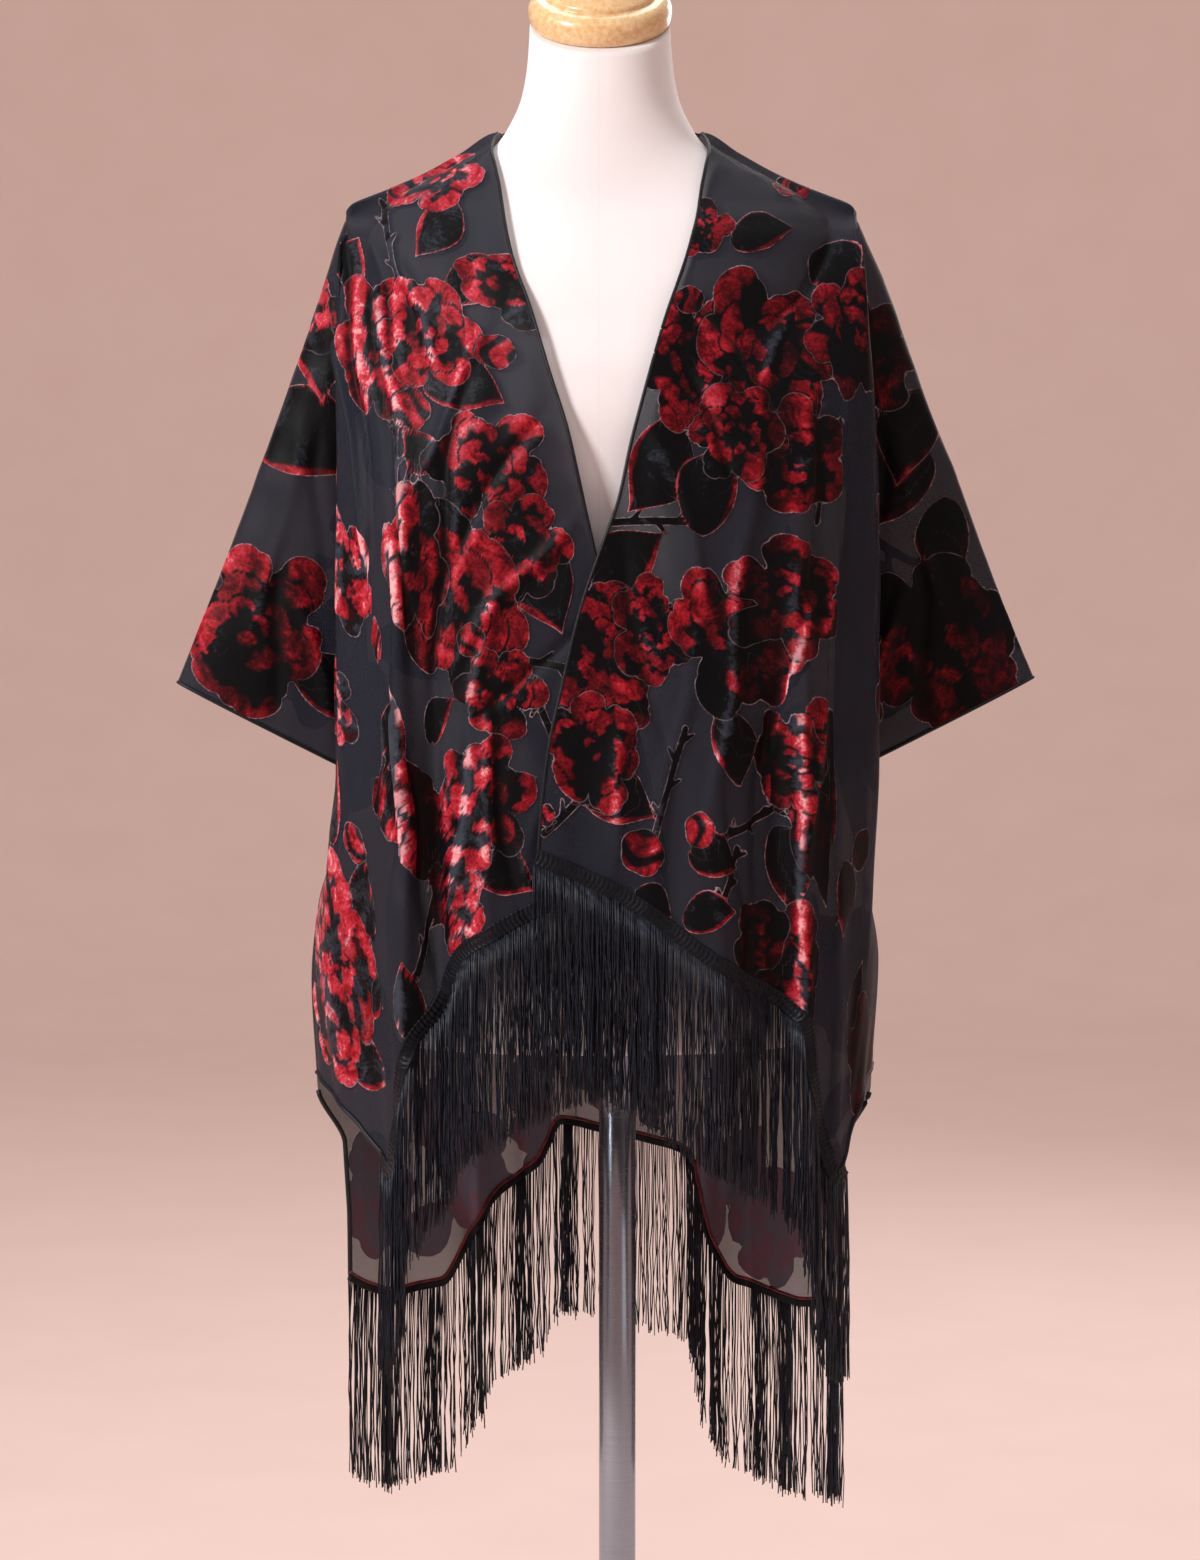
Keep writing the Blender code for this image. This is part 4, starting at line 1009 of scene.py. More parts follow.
@dataclass
class Fringe:
    """A braided header along a hem, and cords that hang from it in loose clumps."""

    name: str
    node: str
    outward: float
    seed: int
    step: float = 0.00056
    length: float = 0.154
    header_depth: float = 0.0115
    radius: float = 0.00056
    thin: float = 0.85
    links: int = 8

    def build(
        self, hem: FloatArray, above: FloatArray, braid: Finish, cord: Finish
    ) -> list[Piece]:
        """Makes the header and the cords.

        Args:
            hem: Points of the cloth's hem.
            above: Points a little above the hem, one for each of the hem's.
            braid: The header's material.
            cord: The cords' material.

        Returns:
            The header and the cords.
        """
        lengths = np.concatenate([[0.0], np.cumsum(np.linalg.norm(np.diff(hem, axis=0), axis=1))])
        at = np.linspace(0.0, lengths[-1], int(lengths[-1] / 0.0007))
        line = np.stack([np.interp(at, lengths, hem[:, k]) for k in range(3)], axis=-1)
        upper = np.stack([np.interp(at, lengths, above[:, k]) for k in range(3)], axis=-1)
        tangent = unit(smoothed(np.gradient(line, axis=0), 200))
        down = unit(smoothed(line - upper, 300))
        down = unit(down - (down * tangent).sum(axis=1, keepdims=True) * tangent)
        normal = unit(np.cross(tangent, down))
        normal = normal * np.sign((normal[:, 1] * self.outward).sum())
        header = self._header(at, line, down, normal, braid)
        cords = self._cords(at, line, down, normal, cord)
        return [header, cords]

    def _header(
        self, at: FloatArray, line: FloatArray, down: FloatArray, normal: FloatArray, braid: Finish
    ) -> Piece:
        """The braid: a band below the hem whose face rises and falls as the loops of two crossing cords."""
        part = np.linspace(0.0, 1.0, 9)
        wave = np.sin(at[:, None] / 0.0019 * math.pi + 3.0 * np.abs(part - 0.5) * 2)
        rise = 0.00028 * wave + 0.0005 * np.cos(part * math.pi * 2) ** 2
        face = line[:, None] + down[:, None] * (part[:, None] * self.header_depth - 0.0012)
        outer = face + normal[:, None] * (0.0011 + rise)[..., None]
        inner = face - normal[:, None] * 0.0010
        ring = np.concatenate([outer, inner[:, ::-1]], axis=1)
        made = sheet_mesh(self.name + "_header", ring, True, capped=True)
        blank = 0 * ring[..., 0]
        mesh_uv(made, at[:, None] + blank, np.concatenate([part, part[::-1]])[None] + blank)
        made.data.materials.append(braid)
        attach(made, "root")
        return made

    def _cords(
        self, at: FloatArray, line: FloatArray, down: FloatArray, normal: FloatArray, cord: Finish
    ) -> Piece:
        """The cords: each hangs straight from the header, leans towards its clump as it falls, and wavers.

        A cord's offset is its clump's lean times the part fallen to the power 1.3, plus sines with phases of
        its own.
        """
        random = np.random.default_rng(self.seed)
        roots = line + down * (self.header_depth - 0.0022)
        flat = np.linalg.norm(np.gradient(roots[:, :2], axis=0), axis=1) / np.maximum(np.gradient(at), 1e-9)
        run = np.concatenate([[0.0], np.cumsum(np.diff(at) * np.clip(flat[1:], 0.45, 1.0))])
        count = int(run[-1] / self.step)
        folds = np.cumsum(random.uniform(0.034, 0.066, int(run[-1] / 0.04)))
        weight = self.thin + (1.7 - self.thin) * np.exp(-(((run[:, None] - folds) / 0.0075) ** 2)).max(axis=1)
        share = np.concatenate([[0.0], np.cumsum(weight[1:] * np.diff(run))])
        even = np.interp(np.linspace(0, share[-1], count), share, run)
        places = np.sort(np.clip(even + random.normal(0, 0.0004, count), 0, run[-1]))
        index = np.interp(places, run, np.arange(len(run)))
        grid_index = np.arange(len(run))
        root = np.stack([np.interp(index, grid_index, roots[:, k]) for k in range(3)], axis=-1)
        out = np.stack([np.interp(index, grid_index, normal[:, k]) for k in range(3)], axis=-1)
        out = unit(out * np.array([1.0, 1.0, 0.0]))
        side = np.stack([-out[:, 1], out[:, 0], 0 * out[:, 0]], axis=-1)
        side = side * np.sign((side * np.gradient(root, axis=0)).sum(axis=1, keepdims=True))
        centres = np.cumsum(random.uniform(0.0045, 0.0120, int(run[-1] / 0.007)))
        nearest = np.abs(places[:, None] - centres[None]).argmin(axis=1)
        lean = (centres[nearest] - places) * random.uniform(0.10, 0.75, count)
        length = self.length * (1 + random.normal(0, 0.012, count)) + 0.006 * (random.random(count) < 0.10)
        part = np.linspace(0.0, 1.0, self.links)[None]
        phase = random.uniform(0, math.tau, (count, 4))
        waver = 0.0011 * np.sin(9 * part + phase[:, :1]) * part
        waver = waver + 0.0007 * np.sin(23 * part + phase[:, 1:2]) * np.clip(3 * part, 0, 1)
        depth = random.uniform(-0.0012, 0.0034, (count, 1)) * np.clip(4 * part, 0, 1)
        depth = depth + 0.0010 * np.sin(7 * part + phase[:, 2:3]) * part + 0.0008
        aside = lean[:, None] * part**1.3 + waver + random.normal(0, 0.0018, (count, 1)) * part**2
        path = root[:, None] + side[:, None] * aside[..., None] + out[:, None] * depth[..., None]
        path[..., 2] -= part * length[:, None]
        made = many_tubes(self.name + "_cords", path, self.radius * random.uniform(0.8, 1.2, count))
        made.data.materials.append(cord)
        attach(made, "root")
        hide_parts(self.node)
        return made


def mesh_uv(made: Piece, u: FloatArray, v: FloatArray) -> None:
    """Lays a UV map in metres on a grid mesh from numbers at its points.

    Args:
        made: The piece.
        u: First number at each point.
        v: Second number at each point.
    """
    mesh = made.data
    corner = np.empty(len(mesh.loops), dtype=np.int32)
    mesh.loops.foreach_get("vertex_index", corner)
    layer = mesh.uv_layers.new(name="UVMap")
    flat = np.stack([u.reshape(-1), v.reshape(-1)], axis=-1)[corner]
    layer.data.foreach_set("uv", flat.reshape(-1).astype(np.float32))


def many_tubes(name: str, path: FloatArray, radius: FloatArray) -> Piece:
    """Many thin three-sided cords in one mesh.

    Each ring is a triangle of points across the cord's fall, and each cord ends in a closed face.

    Args:
        name: The piece's name.
        path: Points by cord and place along it.
        radius: Each cord's radius.

    Returns:
        The object.
    """
    count, links = path.shape[:2]
    angle = np.linspace(0, math.tau, 3, endpoint=False)
    ring = np.stack([np.cos(angle), np.sin(angle), 0 * angle], axis=-1)
    points = path[:, :, None] + radius[:, None, None, None] * ring[None, None]
    base = (np.arange(count) * links * 3)[:, None, None]
    i, j = np.meshgrid(np.arange(links - 1), np.arange(3), indexing="ij")
    k = (j + 1) % 3
    quad = np.stack([i * 3 + j, (i + 1) * 3 + j, (i + 1) * 3 + k, i * 3 + k], axis=-1).reshape(1, -1, 4)
    faces = (base + quad).reshape(-1, 4).tolist()
    top = base[:, 0] + np.array([[0, 1, 2]])
    end = base[:, 0] + (links - 1) * 3 + np.array([[2, 1, 0]])
    mesh = bpy.data.meshes.new(name)
    mesh.from_pydata(points.reshape(-1, 3).tolist(), [], faces + top.tolist() + end.tolist())
    mesh.polygons.foreach_set("use_smooth", np.ones(len(mesh.polygons), dtype=bool))
    mesh.update()
    made = bpy.data.objects.new(name, mesh)
    bpy.context.scene.collection.objects.link(made)
    fallen = np.linspace(0, 1, links)[None, :, None] + 0 * points[..., 0]
    number = (np.arange(count) / count)[:, None, None] + 0 * points[..., 0]
    mesh_uv(made, number, fallen)
    return made


@dataclass
class Turned:
    """A turned piece: a smooth profile swept about its axis, tilted and set in place."""

    name: str
    node: str
    profile: FloatArray
    sides: int = 96
    tilt: float = 0.0
    place: tuple[float, float, float] = (0.0, 0.0, 0.0)

    def build(self, finish: Finish) -> Piece:
        """Sweeps the profile, radius and height, about the upright axis.

        Args:
            finish: The piece's material.

        Returns:
            The piece.
        """
        radius, height = self.profile[:, :1], self.profile[:, 1:]
        angle = np.linspace(0, math.tau, self.sides, endpoint=False)
        grid = np.stack([radius * np.cos(angle), radius * np.sin(angle), height + 0 * angle], axis=-1)
        cos, sin = math.cos(self.tilt), math.sin(self.tilt)
        turn = np.array([[1, 0, 0], [0, cos, -sin], [0, sin, cos]])
        grid = grid @ turn.T + np.array(self.place)
        made = sheet_mesh(self.name, grid, True, capped=True)
        made.data.materials.append(finish)
        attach(made, "root")
        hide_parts(self.node)
        return made


@dataclass(frozen=True)
class DevoreCloth:
    """Burnt-out velvet: sheer chiffon where the pile is burnt away, crushed rayon pile in the shapes."""

    chiffon: str = "#1b1e29"
    wrong_chiffon: str = "#444853"
    black_pile: str = "#040508"
    # Painted sheen: the grey that the black pile turns to where the painted light is highest.
    painted_sheen_on_black_pile: str = "#353a44"
    # Reds by the nap and its painted light: painted shade at the dark end, the dye's reds between, a pale
    # pink painted highlight at the top.
    reds_from_painted_shade_to_highlight: tuple[tuple[float, str], ...] = (
        (0.10, "#0c0103"), (0.34, "#240307"), (0.50, "#550710"),
        (0.66, "#93131f"), (0.82, "#bb3645"), (1.0, "#e9a4a8"),
    )
    edge: str = "#b59aa2"
    wrong_grey: str = "#57535f"
    wrong_red: str = "#6e4250"
    sheer_alpha: float = 0.55
    wrong_alpha: float = 0.70

    def right_side(self) -> Finish:
        """The nap catches light in soft blotches, with painted highlight on ridges and painted shade in
        troughs; a pale line of cut thread rims each shape.
        """
        return self._weave("devore_velvet_burnt_out_on_chiffon", True)

    def wrong_side(self) -> Finish:
        """The chiffon's back: the shapes show as a dull grey backing, tinged where the pile is red."""
        return self._weave("devore_velvet_wrong_side", False)

    def _weave(self, name: str, right: bool) -> Finish:
        """Builds either side.

        Args:
            name: The material's name.
            right: Whether it is the side with the pile.

        Returns:
            The material.
        """
        w = Weave(name)
        pattern = w.add("Attribute", {"attribute_name": "pattern"})
        parts = w.add("SeparateColor", Color=pattern.outputs["Color"])
        place = w.add("TexCoord").outputs["Object"]
        # The burnt edge wanders by about half a millimetre.
        wander = w.add("TexNoise", {"Scale": 420.0, "Detail": 2.0}, Vector=place)
        offset = w.add("MapRange", {1: 0.25, 2: 0.75, 3: -0.45, 4: 0.45}, Value=wander.outputs["Fac"])
        inside = w.add("Math", {"operation": "ADD"}, i0=parts.outputs[0], i1=offset.outputs[0])
        mask = w.add("MapRange", {1: -0.20, 2: 0.20, 3: 0.0, 4: 1.0}, Value=inside.outputs[0])
        # Crushed nap: patches of about 20 mm that lie one way or the other, with flecks of about 2 mm, and
        # painted light from the pattern: painted highlight on ridges and on slopes turned up or to -X,
        # painted shade in troughs.
        patch = w.add("TexNoise", {"Scale": 50.0, "Detail": 4.0, "Roughness": 0.60, "Distortion": 1.3},
                      Vector=place)
        fleck = w.add("TexNoise", {"Scale": 430.0, "Detail": 2.0, "Roughness": 0.6}, Vector=place)
        soft = w.add("Math", {"operation": "MULTIPLY_ADD", 1: 0.40},
                     i0=fleck.outputs["Fac"], i2=patch.outputs["Fac"])
        # Painted highlight and painted shade, read from the pattern's fourth number.
        painted_highlight_and_shade = w.add("MapRange", {1: 0.0, 2: 1.0, 3: -0.48, 4: 0.36}, Value=pattern.outputs["Alpha"])
        nap_and_painted_light = w.add("Math", {"operation": "ADD"}, i0=soft.outputs[0], i1=painted_highlight_and_shade.outputs[0])
        blotch = w.add("MapRange", {1: 0.38, 2: 0.72, 3: 0.0, 4: 0.24}, Value=patch.outputs["Fac"])
        level = w.add("Math", {"operation": "SUBTRACT"}, i0=parts.outputs[1], i1=blotch.outputs[0])
        redness = w.add("MapRange", {1: 0.05, 2: 0.62, 3: 0.0, 4: 1.0}, Value=level.outputs[0])
        if right:
            colour = self._pile(w, nap_and_painted_light.outputs[0], redness.outputs[0])
            # The cut threads at a shape's edge show as a pale line about half a millimetre wide.
            outer = w.add("Math", {"operation": "ABSOLUTE"}, i0=parts.outputs[0])
            inner = w.add("Math", {"operation": "ABSOLUTE"}, i0=parts.outputs[2])
            rim = w.add("MapRange", {1: 0.15, 2: 0.80, 3: 1.0, 4: 0.0}, Value=outer.outputs[0])
            crease = w.add("MapRange", {1: 0.15, 2: 0.60, 3: 0.28, 4: 0.0}, Value=inner.outputs[0])
            line = w.add("Math", {"operation": "MAXIMUM"}, i0=rim.outputs[0], i1=crease.outputs[0])
            broken = w.add("MapRange", {1: 0.40, 2: 0.62, 3: 0.18, 4: 0.80}, Value=patch.outputs["Fac"])
            thread = w.add("Math", {"operation": "MULTIPLY"}, i0=line.outputs[0], i1=broken.outputs[0])
            shape = w.add("Mix", {"data_type": "RGBA", 7: linear_colour(self.edge)},
                          i0=thread.outputs[0], i6=colour)
        else:
            shape = w.add("Mix", {
                "data_type": "RGBA", 6: linear_colour(self.wrong_grey), 7: linear_colour(self.wrong_red),
            }, i0=w.add("Math", {"operation": "MULTIPLY", 1: 0.6}, i0=redness.outputs[0]).outputs[0])
        ground = self.chiffon if right else self.wrong_chiffon
        colour = w.add("Mix", {"data_type": "RGBA", 6: linear_colour(ground)},
                       i0=mask.outputs[0], i7=shape.outputs[2])
        # Where folds tilt the chiffon, one looks through more of it. What it lets through is raised to the
        # power of the layers.
        crepe = w.add("TexNoise", {"Scale": 900.0, "Detail": 1.0}, Vector=place)
        solid = self.sheer_alpha if right else self.wrong_alpha
        through = w.add("MapRange", {1: 0.3, 2: 0.7, 3: 1.01 - solid, 4: 0.99 - solid},
                        Value=crepe.outputs["Fac"])
        layers = w.add("Attribute", {"attribute_name": "layers"})
        left = w.add("Math", {"operation": "POWER"}, i0=through.outputs[0], i1=layers.outputs["Fac"])
        sheer = w.add("Math", {"operation": "SUBTRACT", 0: 1.0}, i1=left.outputs[0])
        alpha = w.add("Mix", {"data_type": "FLOAT", 3: 1.0}, i0=mask.outputs[0], i2=sheer.outputs[0])
        height = w.add("Math", {"operation": "MULTIPLY_ADD", 1: 0.35}, i0=soft.outputs[0], i2=mask.outputs[0])
        bump = w.add("Bump", {"Strength": 0.6, "Distance": 0.0012}, Height=height.outputs[0])
        shader = w.add("BsdfPrincipled", {
            "Roughness": 0.55, "Specular IOR Level": 0.10, "Sheen Weight": 0.10, "Sheen Roughness": 0.30,
            "Sheen Tint": linear_colour("#e8c8cc"),
        }, Base_Color=colour.outputs[2], Alpha=alpha.outputs[0], Normal=bump.outputs[0])
        return w.finish(shader.outputs[0])

    def _pile(self, w: Weave, nap_and_painted_light: Socket, redness: Socket) -> Socket:
        """Red and black pile from dark to bright with the nap and its painted light: painted shade at the
        dark end, painted highlight and sheen at the bright end.
        """
        ramp = w.add("ValToRGB", Fac=nap_and_painted_light)
        stops = ramp.color_ramp.elements
        stops[0].position, stops[0].color = self.reds_from_painted_shade_to_highlight[0][0], linear_colour(self.reds_from_painted_shade_to_highlight[0][1])
        stops[1].position, stops[1].color = self.reds_from_painted_shade_to_highlight[-1][0], linear_colour(self.reds_from_painted_shade_to_highlight[-1][1])
        for at, code in self.reds_from_painted_shade_to_highlight[1:-1]:
            stops.new(at).color = linear_colour(code)
        black = w.add("ValToRGB", Fac=nap_and_painted_light)
        stops = black.color_ramp.elements
        # The black pile greys towards its painted sheen where the painted light is high.
        stops[0].position, stops[0].color = 0.66, linear_colour(self.black_pile)
        stops[1].position, stops[1].color = 1.0, linear_colour(self.painted_sheen_on_black_pile)
        pile = w.add("Mix", {"data_type": "RGBA"}, i0=redness, i6=black.outputs[0], i7=ramp.outputs[0])
        return pile.outputs[2]


@dataclass(frozen=True)
class RayonCord:
    """Twisted rayon cord, dyed blue-black: a soft gloss along each cord."""

    dark: str = "#04060c"
    light: str = "#1c2538"
    twist: float = 0.0022
    gloss: float = 0.30
    name: str = "rayon_cord_twisted"

    def make(self) -> Finish:
        """Each cord has its own shade. Its twist is a slanting ripple, drawn coarser so that it shows."""
        w = Weave(self.name)
        uv = w.add("UVMap", {"uv_map": "UVMap"})
        place = w.add("TexCoord").outputs["Object"]
        shade = w.add("TexNoise", {"Scale": 900.0, "Detail": 0.0}, Vector=uv.outputs[0])
        streak = w.add("TexNoise", {"Scale": 160.0, "Detail": 2.0}, Vector=place)
        both = w.add("Math", {"operation": "MULTIPLY"}, i0=shade.outputs["Fac"], i1=streak.outputs["Fac"])
        level = w.add("MapRange", {1: 0.12, 2: 0.42}, Value=both.outputs[0])
        colour = w.add("Mix", {
            "data_type": "RGBA", 6: linear_colour(self.dark), 7: linear_colour(self.light),
        }, i0=level.outputs[0])
        wave = w.add("TexWave", {
            "wave_type": "BANDS", "bands_direction": "DIAGONAL", "Scale": 1.0 / self.twist / 6,
        }, Vector=place)
        bump = w.add("Bump", {"Strength": 0.4, "Distance": 0.0003}, Height=wave.outputs["Fac"])
        shader = w.add("BsdfPrincipled", {
            "Roughness": 0.46, "Specular IOR Level": self.gloss, "Sheen Weight": 0.03,
        }, Base_Color=colour.outputs[2], Normal=bump.outputs[0])
        return w.finish(shader.outputs[0])


@dataclass(frozen=True)
class JerseyCover:
    """Off-white cotton jersey stretched over the form: matt, with a fine knit and a faint centre seam."""

    colour: str = "#efebeb"
    shade: str = "#ddd6d6"

    def make(self) -> Finish:
        """The knit is an unevenness about a millimetre across, and a sewn line runs down the centre."""
        w = Weave("cotton_jersey_stretched")
        place = w.add("TexCoord").outputs["Object"]
        axes = w.add("SeparateXYZ", Vector=place)
        away = w.add("Math", {"operation": "SUBTRACT", 1: WEAR_X - 0.001}, i0=axes.outputs[0])
        near = w.add("Math", {"operation": "ABSOLUTE"}, i0=away.outputs[0])
        seam = w.add("MapRange", {1: 0.0003, 2: 0.0012, 3: 1.0, 4: 0.0}, Value=near.outputs[0])
        knit = w.add("TexNoise", {"Scale": 900.0, "Detail": 2.0}, Vector=place)
        cloud = w.add("TexNoise", {"Scale": 9.0, "Detail": 3.0}, Vector=place)
        tone = w.add("Mix", {
            "data_type": "RGBA", 6: linear_colour(self.colour), 7: linear_colour(self.shade),
        }, i0=w.add("MapRange", {1: 0.40, 2: 0.75, 4: 0.5}, Value=cloud.outputs["Fac"]).outputs[0])
        lined = w.add("Mix", {"data_type": "RGBA", 7: linear_colour("#cfc6c4")},
                      i0=w.add("Math", {"operation": "MULTIPLY", 1: 0.12}, i0=seam.outputs[0]).outputs[0],
                      i6=tone.outputs[2])
        relief = w.add("Math", {"operation": "MULTIPLY_ADD", 1: 0.25}, i0=knit.outputs["Fac"])
        bump = w.add("Bump", {"Strength": 0.25, "Distance": 0.0006}, Height=relief.outputs[0])
        shader = w.add("BsdfPrincipled", {"Roughness": 0.78, "Specular IOR Level": 0.3, "Sheen Weight": 0.08},
                       Base_Color=lined.outputs[2], Normal=bump.outputs[0])
        return w.finish(shader.outputs[0])


@dataclass(frozen=True)
class VarnishedBeech:
    """Beech turned on a lathe and varnished: pale gold with fine short grain under a clear coat."""

    light: str = "#f1d2a0"
    dark: str = "#d3a062"

    def make(self) -> Finish:
        """Grain bands about 4 mm wide run through the block, so they curve round the turned form."""
        w = Weave("beech_turned_and_varnished")
        place = w.add("TexCoord").outputs["Object"]
        grain = w.add("Mapping", {"Scale": (150.0, 40.0, 150.0)}, Vector=place)
        bands = w.add("TexNoise", {"Scale": 1.6, "Detail": 5.0, "Distortion": 0.6}, Vector=grain.outputs[0])
        flecks = w.add("TexNoise", {"Scale": 9.0, "Detail": 2.0}, Vector=grain.outputs[0])
        both = w.add("Math", {"operation": "MULTIPLY_ADD", 1: 0.35},
                     i0=flecks.outputs["Fac"], i2=bands.outputs["Fac"])
        level = w.add("MapRange", {1: 0.45, 2: 0.95}, Value=both.outputs[0])
        colour = w.add("Mix", {
            "data_type": "RGBA", 6: linear_colour(self.light), 7: linear_colour(self.dark),
        }, i0=level.outputs[0])
        shader = w.add("BsdfPrincipled", {"Roughness": 0.34, "Coat Weight": 0.8, "Coat Roughness": 0.08},
                       Base_Color=colour.outputs[2])
        return w.finish(shader.outputs[0])


@dataclass(frozen=True)
class PolishedSteel:
    """Stainless tube, drawn and polished: bright, with faint lines round it."""

    colour: str = "#aab4c2"
    name: str = "stainless_steel_polished"
    roughness: float = 0.22

    def make(self) -> Finish:
        """Polishing lines about half a millimetre apart vary the gloss a little."""
        w = Weave(self.name)
        place = w.add("TexCoord").outputs["Object"]
        lines = w.add("Mapping", {"Scale": (6.0, 6.0, 900.0)}, Vector=place)
        noise = w.add("TexNoise", {"Scale": 2.0, "Detail": 3.0}, Vector=lines.outputs[0])
        gloss = w.add("MapRange", {1: 0.3, 2: 0.7, 3: self.roughness - 0.05, 4: self.roughness + 0.07},
                      Value=noise.outputs["Fac"])
        tone = w.add("Mix", {"data_type": "RGBA", 6: linear_colour(self.colour), 7: linear_colour("#8a94a2")},
                     i0=noise.outputs["Fac"])
        shader = w.add("BsdfPrincipled", {"Metallic": 1.0},
                       Base_Color=tone.outputs[2], Roughness=gloss.outputs[0])
        return w.finish(shader.outputs[0])


@dataclass(frozen=True)
class PaleFloor:
    """Plain painted studio floor."""

    colour: str = "#e9d0c7"

    def make(self) -> Finish:
        """Matt paint with a faint cloudiness about a hand across."""
        w = Weave("studio_floor_painted_matt")
        place = w.add("TexCoord").outputs["Object"]
        cloud = w.add("TexNoise", {"Scale": 6.0, "Detail": 2.0}, Vector=place)
        tone = w.add("Mix", {"data_type": "RGBA", 6: linear_colour(self.colour), 7: linear_colour("#e4c9bf")},
                     i0=cloud.outputs["Fac"])
        shader = w.add("BsdfPrincipled", {"Roughness": 0.9, "Specular IOR Level": 0.1},
                       Base_Color=tone.outputs[2])
        return w.finish(shader.outputs[0])


# Motifs: kind, place across, place up, size, turn in degrees, stretch.
B, L, D, S = Lay.BLOOM, Lay.LEAF, Lay.BUD, Lay.STEM

RIGHT_PATTERN = Pattern((
    Motif(S, -0.161, 1.326, 0.085, 97, 0.6), Motif(S, -0.161, 1.140, 0.11, 84, 0.6),
    Motif(S, -0.155, 1.117, 0.1, 68, 0.5), Motif(S, -0.339, 1.024, 0.07, 75, 0.5),
    Motif(S, -0.024, 0.989, 0.07, -16, 0.4), Motif(S, -0.334, 0.963, 0.09, 95, 0.5),
    Motif(S, -0.164, 0.793, 0.08, 60, 0.5), Motif(S, -0.040, 0.965, 0.09, -70, 0.4),
    Motif(L, -0.124, 1.339, 0.062, 237, 1.1), Motif(L, -0.079, 1.289, 0.07, 12, 1),
    Motif(L, -0.098, 1.199, 0.074, -16, 1), Motif(L, -0.202, 1.302, 0.052, 75, 0.9),
    Motif(L, -0.138, 1.157, 0.05, 145, 1.1), Motif(L, -0.042, 1.047, 0.08, -58, 1.1),
    Motif(L, -0.186, 0.944, 0.07, 82, 1), Motif(L, -0.068, 0.832, 0.056, -22, 1.1),
    Motif(L, -0.283, 0.816, 0.066, 78, 1), Motif(L, -0.306, 0.737, 0.07, -8, 1.1),
    Motif(L, -0.194, 0.739, 0.066, 98, 1.1), Motif(L, -0.318, 0.681, 0.07, -12, 1),
    Motif(L, -0.275, 1.139, 0.06, 60, 1), Motif(L, -0.132, 0.952, 0.05, 40, 1),
    Motif(L, -0.317, 0.888, 0.07, 70, 1), Motif(L, -0.060, 0.897, 0.045, 30, 0.9),
    Motif(B, -0.127, 1.397, 0.056, 20, 0.75), Motif(B, -0.183, 1.238, 0.05, 0, 1.25),
    Motif(B, -0.132, 1.251, 0.046, 40, 1.2), Motif(B, -0.083, 1.139, 0.052, 80, 1.1),
    Motif(B, -0.053, 1.079, 0.044, 10, 1), Motif(B, -0.112, 1.042, 0.062, 30, 1.35),
    Motif(B, -0.073, 0.972, 0.036, 60, 1.2), Motif(B, -0.153, 1.072, 0.04, 0, 1.6),
    Motif(B, -0.172, 0.876, 0.046, 70, 1.6), Motif(B, -0.088, 0.892, 0.05, 20, 1.1),
    Motif(B, -0.347, 0.773, 0.06, 10, 1.35), Motif(B, -0.374, 0.717, 0.046, 40, 1.1),
    Motif(B, -0.261, 1.064, 0.042, 20, 1.3), Motif(B, -0.397, 0.817, 0.04, 20, 1.3),
    Motif(B, -0.125, 0.817, 0.042, 10, 1), Motif(B, -0.056, 1.286, 0.034, 70, 1.6),
    Motif(B, -0.309, 0.964, 0.036, 70, 1.3), Motif(D, -0.072, 1.232, 0.0185, -10, 0.8),
    Motif(D, -0.148, 1.187, 0.0175, 70, 1.2), Motif(D, -0.221, 1.011, 0.019, 90, 0.7),
    Motif(D, -0.235, 0.894, 0.0205, 0, 0.85), Motif(D, -0.288, 0.857, 0.015, 40, 1.2),
    Motif(D, -0.097, 1.011, 0.013, 20, 1),
))
